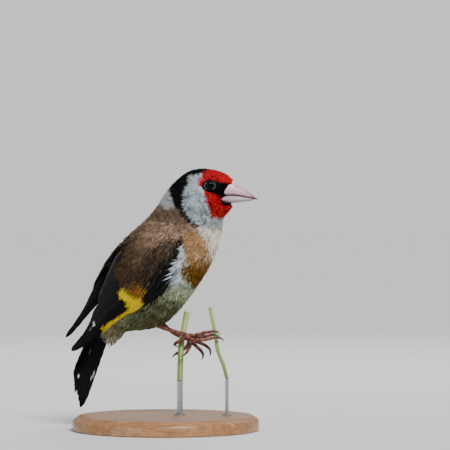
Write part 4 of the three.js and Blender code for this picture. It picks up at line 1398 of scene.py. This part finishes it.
# a thin shell over the ball with an opening, pale at its edge
def makeLid(side, sign, middle):
    s = eyeSettings
    outer = s["radius"] + 0.16
    rows = [(s["lid"] - 0.04, -0.1), (s["lid"], 0.02), (s["lid"] + 0.07, 0.06), (s["lid"] + 0.14, 0.02)]
    profile = [(r, math.sqrt(outer ** 2 - r * r) + lift) for r, lift in rows]
    profile += [(outer * math.sin(a), outer * math.cos(a)) for a in np.linspace(1.02, 1.95, 9)]
    profile += [(2.3, -0.9), (2.3, 0.5), (s["lid"] - 0.1, 1.3)]
    bm = bmesh.new()
    verts = [bm.verts.new((radius * mm, height * mm, 0)) for radius, height in profile]
    for a, b in zip(verts, verts[1:] + verts[:1]):
        bm.edges.new((a, b))
    bmesh.ops.spin(
        bm, geom=bm.verts[:] + bm.edges[:], cent=(0, 0, 0), axis=(0, 1, 0), angle=math.tau,
        steps=56, use_merge=True, use_normal_flip=False, use_duplicate=False)
    bmesh.ops.remove_doubles(bm, verts=bm.verts, dist=1e-7)
    lid = objectFrom(bm, "lid_" + side)
    points = pointsOf(lid.data)
    radius = np.hypot(points[:, 0], points[:, 2])
    edge = (radius < s["lid"] + 0.12) & (points[:, 1] > 1.4)
    points[:, 2] *= squeeze(radius)
    points[:, 1] *= sign
    setPoints(lid.data, points + middle)
    if sign < 0:
        lid.data.flip_normals()
    paintMesh(lid.data, np.where(edge[:, None], tint(124, 138, 152), paints["black"]))
    finishPiece(lid, lidMaterial, "face_plumage")


# the smallest feathers, on the lids round the opening
def makeBrow(side, sign, middle):
    s = eyeSettings
    dice = np.random.default_rng(91 if side == "right" else 92)
    count = s["brow"]
    outer = s["radius"] + 0.12
    turn = dice.uniform(0, math.tau, count)
    radius = dice.uniform(s["lid"] + 0.16, outer - 0.02, count)
    away = np.stack([np.cos(turn), np.zeros(count), np.sin(turn)], -1)
    ahead = np.array([-1.0, 0.0, 0.1])
    flow = ahead - away * np.minimum(away @ ahead, 0)[:, None] + away * 0.55
    length = dice.uniform(0.6, 0.95, count) * (1 + 0.7 * ease(0.1, -0.8, away[:, 0]))
    step = unit(flow)

    def onLid(spot):
        reach = np.hypot(spot[:, 0], spot[:, 2])
        height = np.sqrt(np.maximum(outer ** 2 - reach ** 2, 0.0)) - 1.1 * np.maximum(reach - outer, 0)
        place = np.stack([spot[:, 0], height * sign, spot[:, 2] * squeeze(reach)], -1)
        return place + middle, unit(np.stack([spot[:, 0], (height + 0.4) * sign, spot[:, 2]], -1))

    start = away * radius[:, None]
    root, facing = onLid(start)
    centre, centreFacing = onLid(start + step * length[:, None] * 0.5)
    end, endFacing = onLid(start + step * length[:, None])
    tone = dice.normal(0, 0.4, count).clip(-1, 1)
    growLocks("coat_brow_" + side, {
        "root": root, "facing": facing, "lie": unit(end - root), "length": length,
        "middle": centre, "middleFacing": centreFacing, "end": end, "endFacing": endFacing,
        "half": length * 0.3, "rise": np.full(count, 0.34), "tone": tone,
        "colour": mix(paints["black"], paints["mantleDark"], np.clip(tone, 0, 1) * 0.5),
    }, smallLock, faceMaterial, "face_plumage", 5, dark=0.3)


for side in ("right", "left"):
    makeEye(side)
print("eyes ready")

# legs, toes and claws
legSettings = {
    "right": {
        "tarsus": [(-7, 2.0, 45.2), (-2.4, 0.9, 42.2), (3, -0.2, 40.5), (7.7, -0.9, 39.0)],
        "toes": [
            [(8.4, -1.0, 38.7), (12, -1.9, 38.9), (15.9, -2.5, 39.9), (19.2, -2.6, 40.4)],
            [(8.4, -1.0, 38.5), (11.6, -2.2, 36.9), (15.9, -2.9, 37.1), (20.4, -2.7, 38.0)],
            [(8.4, -1.0, 38.6), (11.8, 0.4, 37.9), (15.4, 1.2, 38.2), (19.0, 1.5, 38.9)],
            [(8.3, -1.0, 38.6), (6.6, -1.1, 37.0), (4.2, 0.2, 35.6), (3.4, 2.4, 34.8)],
        ],
        "claws": [
            [(19.0, -2.6, 40.4), (21.2, -2.5, 40.2), (22.2, -2.1, 39.0)],
            [(20.2, -2.7, 38.0), (22.7, -2.3, 37.5), (23.7, -1.7, 36.1)],
            [(18.8, 1.5, 38.9), (21.1, 1.3, 38.6), (22.1, 0.7, 37.6)],
            [(3.4, 2.3, 34.8), (3.9, 4.3, 34.2), (5.2, 5.2, 33.6)],
        ],
    },
    "left": {
        "tarsus": [(-4, 11.4, 45.2), (-0.4, 10.2, 42.0), (3.6, 8.2, 38.9), (9.0, 5.2, 36.9)],
        "toes": [
            [(9.6, 5.0, 36.5), (11.4, 4.0, 34.9), (13.9, 2.6, 32.7), (15.2, 1.8, 31.0)],
            [(9.6, 5.0, 36.5), (12.6, 5.6, 35.8), (15.6, 5.6, 34.6), (17.8, 4.8, 33.0)],
            [(9.6, 5.0, 36.5), (8.6, 5.8, 34.2), (6.2, 5.8, 32.0), (4.0, 4.6, 30.9)],
            [(9.6, 5.0, 36.5), (9.9, 3.0, 34.6), (9.0, 1.2, 32.8), (8.4, -0.2, 31.6)],
        ],
        "claws": [
            [(15.2, 1.8, 31.0), (15.0, 1.3, 29.4), (14.0, 1.1, 28.6)],
            [(17.8, 4.8, 33.0), (18.2, 4.2, 31.1), (17.6, 3.5, 30.1)],
            [(4.0, 4.6, 30.9), (2.9, 2.9, 30.1), (3.3, 1.2, 29.6)],
            [(8.4, -0.2, 31.6), (7.2, -1.0, 30.6), (5.8, -0.9, 30.0)],
        ],
    },
    "tarsusRadius": [1.5, 0.85, 0.78, 0.9],
    "toeRadius": [0.95, 0.75, 0.72, 0.6],
    "clawRadius": [0.5, 0.34, 0.07],
    "scute": 0.9,      # length of one ring of scales
}


# a tube through points, made ring by ring, with the radius as a function of place and turn
def sweep(bm, points, steps, sides, radiusAt):
    keys = np.linspace(0, 1, len(points))
    at = np.linspace(0, 1, steps + 1)
    centres = through(keys, np.array(points, float), at)
    ahead = unit(np.gradient(centres, axis=0))
    helper = np.array([0.0, 1.0, 0.0]) if abs(ahead[0][1]) < 0.8 else np.array([1.0, 0.0, 0.0])
    circle = bmesh.ops.create_circle(bm, cap_ends=True, segments=sides, radius=1.0)["verts"]
    face = circle[0].link_faces[0]
    for i in range(steps + 1):
        sideways = unit(np.cross(helper, ahead[i]))
        helper = unit(np.cross(ahead[i], sideways))
        if i:
            grown = bmesh.ops.extrude_face_region(bm, geom=[face])["geom"]
            face = next(g for g in grown if isinstance(g, bmesh.types.BMFace))
        for k, loop in enumerate(face.loops):
            turn = math.tau * k / sides
            radius = radiusAt(at[i], turn)
            spot = centres[i] + sideways * (radius * math.cos(turn)) + helper * (radius * math.sin(turn))
            loop.vert.co = Vector(spot * mm)


def limbRadius(radii, length, scute):
    def radiusAt(t, turn):
        base = float(np.interp(t, np.linspace(0, 1, len(radii)), radii))
        ring = (t * length / scute) % 1
        step = 0.07 * (1 - ring) - 0.05 * math.exp(-(ring / 0.12) ** 2)
        return base * (0.97 + step * (0.6 + 0.4 * math.cos(turn)))
    return radiusAt


def legMaterial():
    material, tree, shader = startMaterial("legScales", {"Roughness": 0.42})
    here = coordinates(tree)
    fine = noiseOn(tree, here, 4200)
    base = ramp(tree, noiseOn(tree, here, 700), [
        (0.3, tint(66, 24, 14)), (0.5, tint(98, 42, 27)), (0.72, tint(140, 80, 60))])
    shade = ramp(tree, fine, [(0.3, (0.7, 0.66, 0.66)), (0.7, (1.08, 1.05, 1.05))])
    tree.links.new(multiply(tree, base, shade), shader.inputs["Base Color"])
    addBump(tree, shader, fine, 0.5, 0.0001)
    return material


scaleMaterial = legMaterial()
nailMaterial = grainMaterial(
    "clawHorn", {"Roughness": 0.3}, 2400, [(0.3, tint(34, 22, 20)), (0.75, tint(92, 62, 54))],
    bump=(0.25, 0.0001), paint=False)


def clawRadius(t, turn):
    return float(np.interp(t, (0, 0.5, 1), legSettings["clawRadius"])) * (1 + 0.12 * math.sin(turn))


def makeLeg(side):
    s = legSettings
    limb = s[side]
    tubes = [(limb["tarsus"], s["tarsusRadius"], 16)] + [(toe, s["toeRadius"], 14) for toe in limb["toes"]]
    bm = bmesh.new()
    for points, radii, sides in tubes:
        length = float(np.linalg.norm(np.diff(np.array(points), axis=0), axis=1).sum())
        steps = int(length / 0.16)
        sweep(bm, points, steps, sides, limbRadius(radii, length, s["scute"]))
    knuckle = Vector(limb["toes"][0][0]) * mm
    ball = bmesh.ops.create_icosphere(bm, subdivisions=3, radius=1.12 * mm)["verts"]
    bmesh.ops.translate(bm, vec=knuckle, verts=ball)
    obj = objectFrom(bm, "leg_" + side)
    finishPiece(obj, scaleMaterial, "leg_scale", "tarsus_" + side, "foot_" + side)
    for number, points in enumerate(limb["claws"], 1):
        bm = bmesh.new()
        sweep(bm, points, 16, 12, clawRadius)
        claw = objectFrom(bm, f"nail_{side}_{number}")
        finishPiece(claw, nailMaterial, "claw_horn", f"claw_{side}_{number}")


for side in ("right", "left"):
    makeLeg(side)
print("legs ready")

# perch: two ridged cut stems
stemSettings = {
    "main": {"radius": 1.2, "ridges": 9, "points": [
        (5.7, 2.3, 20), (5.9, 2.3, 28), (6.4, 2.3, 36), (7.6, 2.3, 43), (8.6, 2.3, 48.2)]},
    "side": {"radius": 0.75, "ridges": 7, "points": [
        (24.9, -0.4, 21.2), (23.5, -0.4, 26.5), (21.2, -0.4, 32.5), (20.4, -0.4, 38), (19.5, -0.4, 43),
        (18.0, -0.4, 50.2)]},
}


greenMaterial = grainMaterial(
    "greenStem", {"Roughness": 0.5}, 1.0, [(0.3, (0.62, 0.7, 0.55)), (0.7, (1.15, 1.1, 1.1))],
    bump=(0.4, 0.0002), stretch=(1800, 1800, 160), detail=5.0)


def makeStem(name):
    s = stemSettings[name]
    points = s["points"]
    bm = bmesh.new()
    height = points[-1][2] - points[0][2]

    def radiusAt(t, turn):
        ridge = 1 - 0.09 * (0.5 + 0.5 * math.cos(turn * s["ridges"]))
        knot = 1 + 0.1 * math.exp(-((t - 0.42) / 0.03) ** 2)
        return s["radius"] * ridge * knot

    sides = s["ridges"] * 6
    steps = int(height * 2)
    sweep(bm, points, steps, sides, radiusAt)
    ends = [f for f in bm.faces if len(f.verts) == sides]
    bmesh.ops.inset_individual(bm, faces=ends, thickness=0.12 * mm, depth=0.0, use_even_offset=True)
    bmesh.ops.recalc_face_normals(bm, faces=bm.faces)
    bm.verts.index_update()
    pith = {v.index for f in ends if f.is_valid for v in f.verts}
    obj = objectFrom(bm, "stem_" + name)
    spots = pointsOf(obj.data)
    share = (spots[:, 2] - points[0][2]) / height
    colour = mix(tint(112, 134, 70), tint(150, 170, 104), ease(0, 1, share))
    colour[list(pith)] = tint(214, 212, 168)
    paintMesh(obj.data, colour)
    finishPiece(obj, greenMaterial, "green_stem", "perch_stem_" + name)


for name in ("main", "side"):
    makeStem(name)

# stand: a turned wooden disc and two thin steel rods
standSettings = {
    "radius": 38.0,
    "height": 6.0,
    "rods": {"main": (5.7, 2.3, 20.0, 1.2), "side": (24.9, -0.4, 21.2, 0.75)},
}


def woodMaterial():
    material, tree, shader = startMaterial(
        "turnedWood", {"Roughness": 0.38, "Coat Weight": 0.25, "Coat Roughness": 0.2})
    pore = noiseOn(tree, stretched(tree, (160, 2200, 2200)), 1.0)
    grain = ramp(tree, noiseOn(tree, stretched(tree, (18, 150, 150)), 1.4, 4.0), [
        (0.30, tint(120, 82, 50)), (0.45, tint(164, 118, 76)),
        (0.55, tint(142, 100, 62)), (0.72, tint(182, 138, 92))])
    shade = ramp(tree, pore, [(0.36, (0.62, 0.58, 0.52)), (0.5, (1, 1, 1))])
    tree.links.new(multiply(tree, grain, shade, 0.8), shader.inputs["Base Color"])
    addBump(tree, shader, pore, 0.2, 0.0001)
    return material


baseWood = woodMaterial()
rodSteel = grainMaterial(
    "brushedSteel", {"Metallic": 1.0, "Roughness": 0.3}, 1.0,
    [(0.3, tint(150, 152, 156)), (0.7, tint(196, 198, 202))],
    bump=(0.15, 0.00005), paint=False, stretch=(300, 300, 6000))


# a turned shape from a half profile of radius and height
def turned(name, profile, centre, steps):
    bm = bmesh.new()
    verts = [bm.verts.new((radius * mm, 0, height * mm)) for radius, height in profile]
    for a, b in zip(verts[:-1], verts[1:]):
        bm.edges.new((a, b))
    bmesh.ops.spin(
        bm, geom=bm.verts[:] + bm.edges[:], cent=(0, 0, 0), axis=(0, 0, 1), angle=math.tau,
        steps=steps, use_merge=True, use_normal_flip=False, use_duplicate=False)
    bmesh.ops.remove_doubles(bm, verts=bm.verts, dist=1e-7)
    bmesh.ops.translate(bm, vec=Vector(centre) * mm, verts=bm.verts)
    obj = objectFrom(bm, name)
    obj.data.set_sharp_from_angle(angle=math.radians(32))
    return obj


def makeStand():
    radius, height = standSettings["radius"], standSettings["height"]
    rim = [(radius - 0.5, 0), (radius, 0.5), (radius, height - 2.0), (radius - 0.25, height - 1.6)]
    rim += [(radius - 0.7 - 0.9 * math.sin(a), height - 0.9 * math.cos(a) - 0.3) for a in (1.2, 0.8, 0.4)]
    rim += [(radius - 2.2, height - 0.25), (radius - 2.4, height)]
    base = turned("wooden_base", [(0, 0)] + rim + [(0, height)], (0, 0, 0), 96)
    finishPiece(base, baseWood, "stand_wood", "stand_base")
    for name, (x, y, top, thick) in standSettings["rods"].items():
        wide = thick + 1.1
        collar = [(0, height), (wide, height), (wide, height + 0.4), (thick + 0.8, height + 0.7)]
        profile = collar + [(thick, height + 0.8), (thick, top - 0.12), (thick - 0.12, top), (0, top)]
        rod = turned("rod_" + name, profile, (x, y, 0), 32)
        finishPiece(rod, rodSteel, "stand_steel", "stand_rod_" + name)


makeStand()
print("stand ready")

# stage: a pale floor, soft light and the camera at the picture's angle
stageSettings = {
    "camera": (24.1, -1020.0, 83.7),
    "lens": 200,
    "world": 0.42,
    "paper": (0.868, 0.874, 0.862),
    "lights": {     # kind, place, target, strength, colour, and angle or size
        "keyLight": ("SUN", (330, -720, 880), (5, -5, 60), 3.9, (1.0, 0.975, 0.94), math.radians(24)),
        "fillLight": ("AREA", (-600, -640, 320), (5, -5, 70), 1.6, (0.92, 0.96, 1.0), 0.5),
        "rimLight": ("AREA", (150, 520, 560), (0, 0, 75), 2.2, (1.0, 1.0, 1.0), 0.35),
    },
}


def putOnStage(obj, place, target):
    obj.location = Vector(place) * mm
    obj.rotation_euler = (Vector(target) - Vector(place)).to_track_quat("-Z", "Y").to_euler()
    bpy.context.scene.collection.objects.link(obj)


def makeFloor():
    bm = bmesh.new()
    bmesh.ops.create_circle(bm, cap_ends=True, segments=64, radius=30.0)
    floor = objectFrom(bm, "floor", False)
    floor.data.materials.append(grainMaterial(
        "paleFloor", {"Roughness": 0.9, "Specular IOR Level": 0.1},
        60, [(0.3, (0.66, 0.665, 0.66)), (0.7, (0.69, 0.695, 0.69))], paint=False))


# the world lights the bird softly, and the camera sees plain paper
def makeWorld():
    s = stageSettings
    world = bpy.data.worlds.new("studio")
    bpy.context.scene.world = world
    world.use_nodes = True
    tree = world.node_tree
    wall = tree.nodes["Background"]
    wall.inputs["Color"].default_value = (0.93, 0.96, 1.0, 1)
    wall.inputs["Strength"].default_value = s["world"]
    backdrop = addNode(tree, "ShaderNodeBackground", Color=(*s["paper"], 1), Strength=1.0)
    chooser = addNode(tree, "ShaderNodeMixShader")
    path = addNode(tree, "ShaderNodeLightPath")
    tree.links.new(path.outputs["Is Camera Ray"], chooser.inputs["Fac"])
    tree.links.new(wall.outputs["Background"], chooser.inputs[1])
    tree.links.new(backdrop.outputs["Background"], chooser.inputs[2])
    tree.links.new(chooser.outputs["Shader"], tree.nodes["World Output"].inputs["Surface"])


def makeLights():
    for name, (kind, place, target, energy, colour, spread) in stageSettings["lights"].items():
        light = bpy.data.lights.new(name, kind)
        light.energy = energy
        light.color = colour
        if kind == "SUN":
            light.angle = spread
        else:
            light.size = spread
        putOnStage(bpy.data.objects.new(name, light), place, target)


def makeCamera():
    camera = bpy.data.objects.new("camera", bpy.data.cameras.new("camera"))
    camera.data.lens = stageSettings["lens"]
    camera.data.sensor_width = 36
    camera.data.clip_start = 0.01
    camera.data.clip_end = 100
    x, y, z = stageSettings["camera"]
    putOnStage(camera, (x, y, z), (x, 0, z))
    bpy.context.scene.camera = camera


makeFloor()
makeWorld()
makeLights()
makeCamera()
bpy.context.view_layer.update()
print("stage ready")
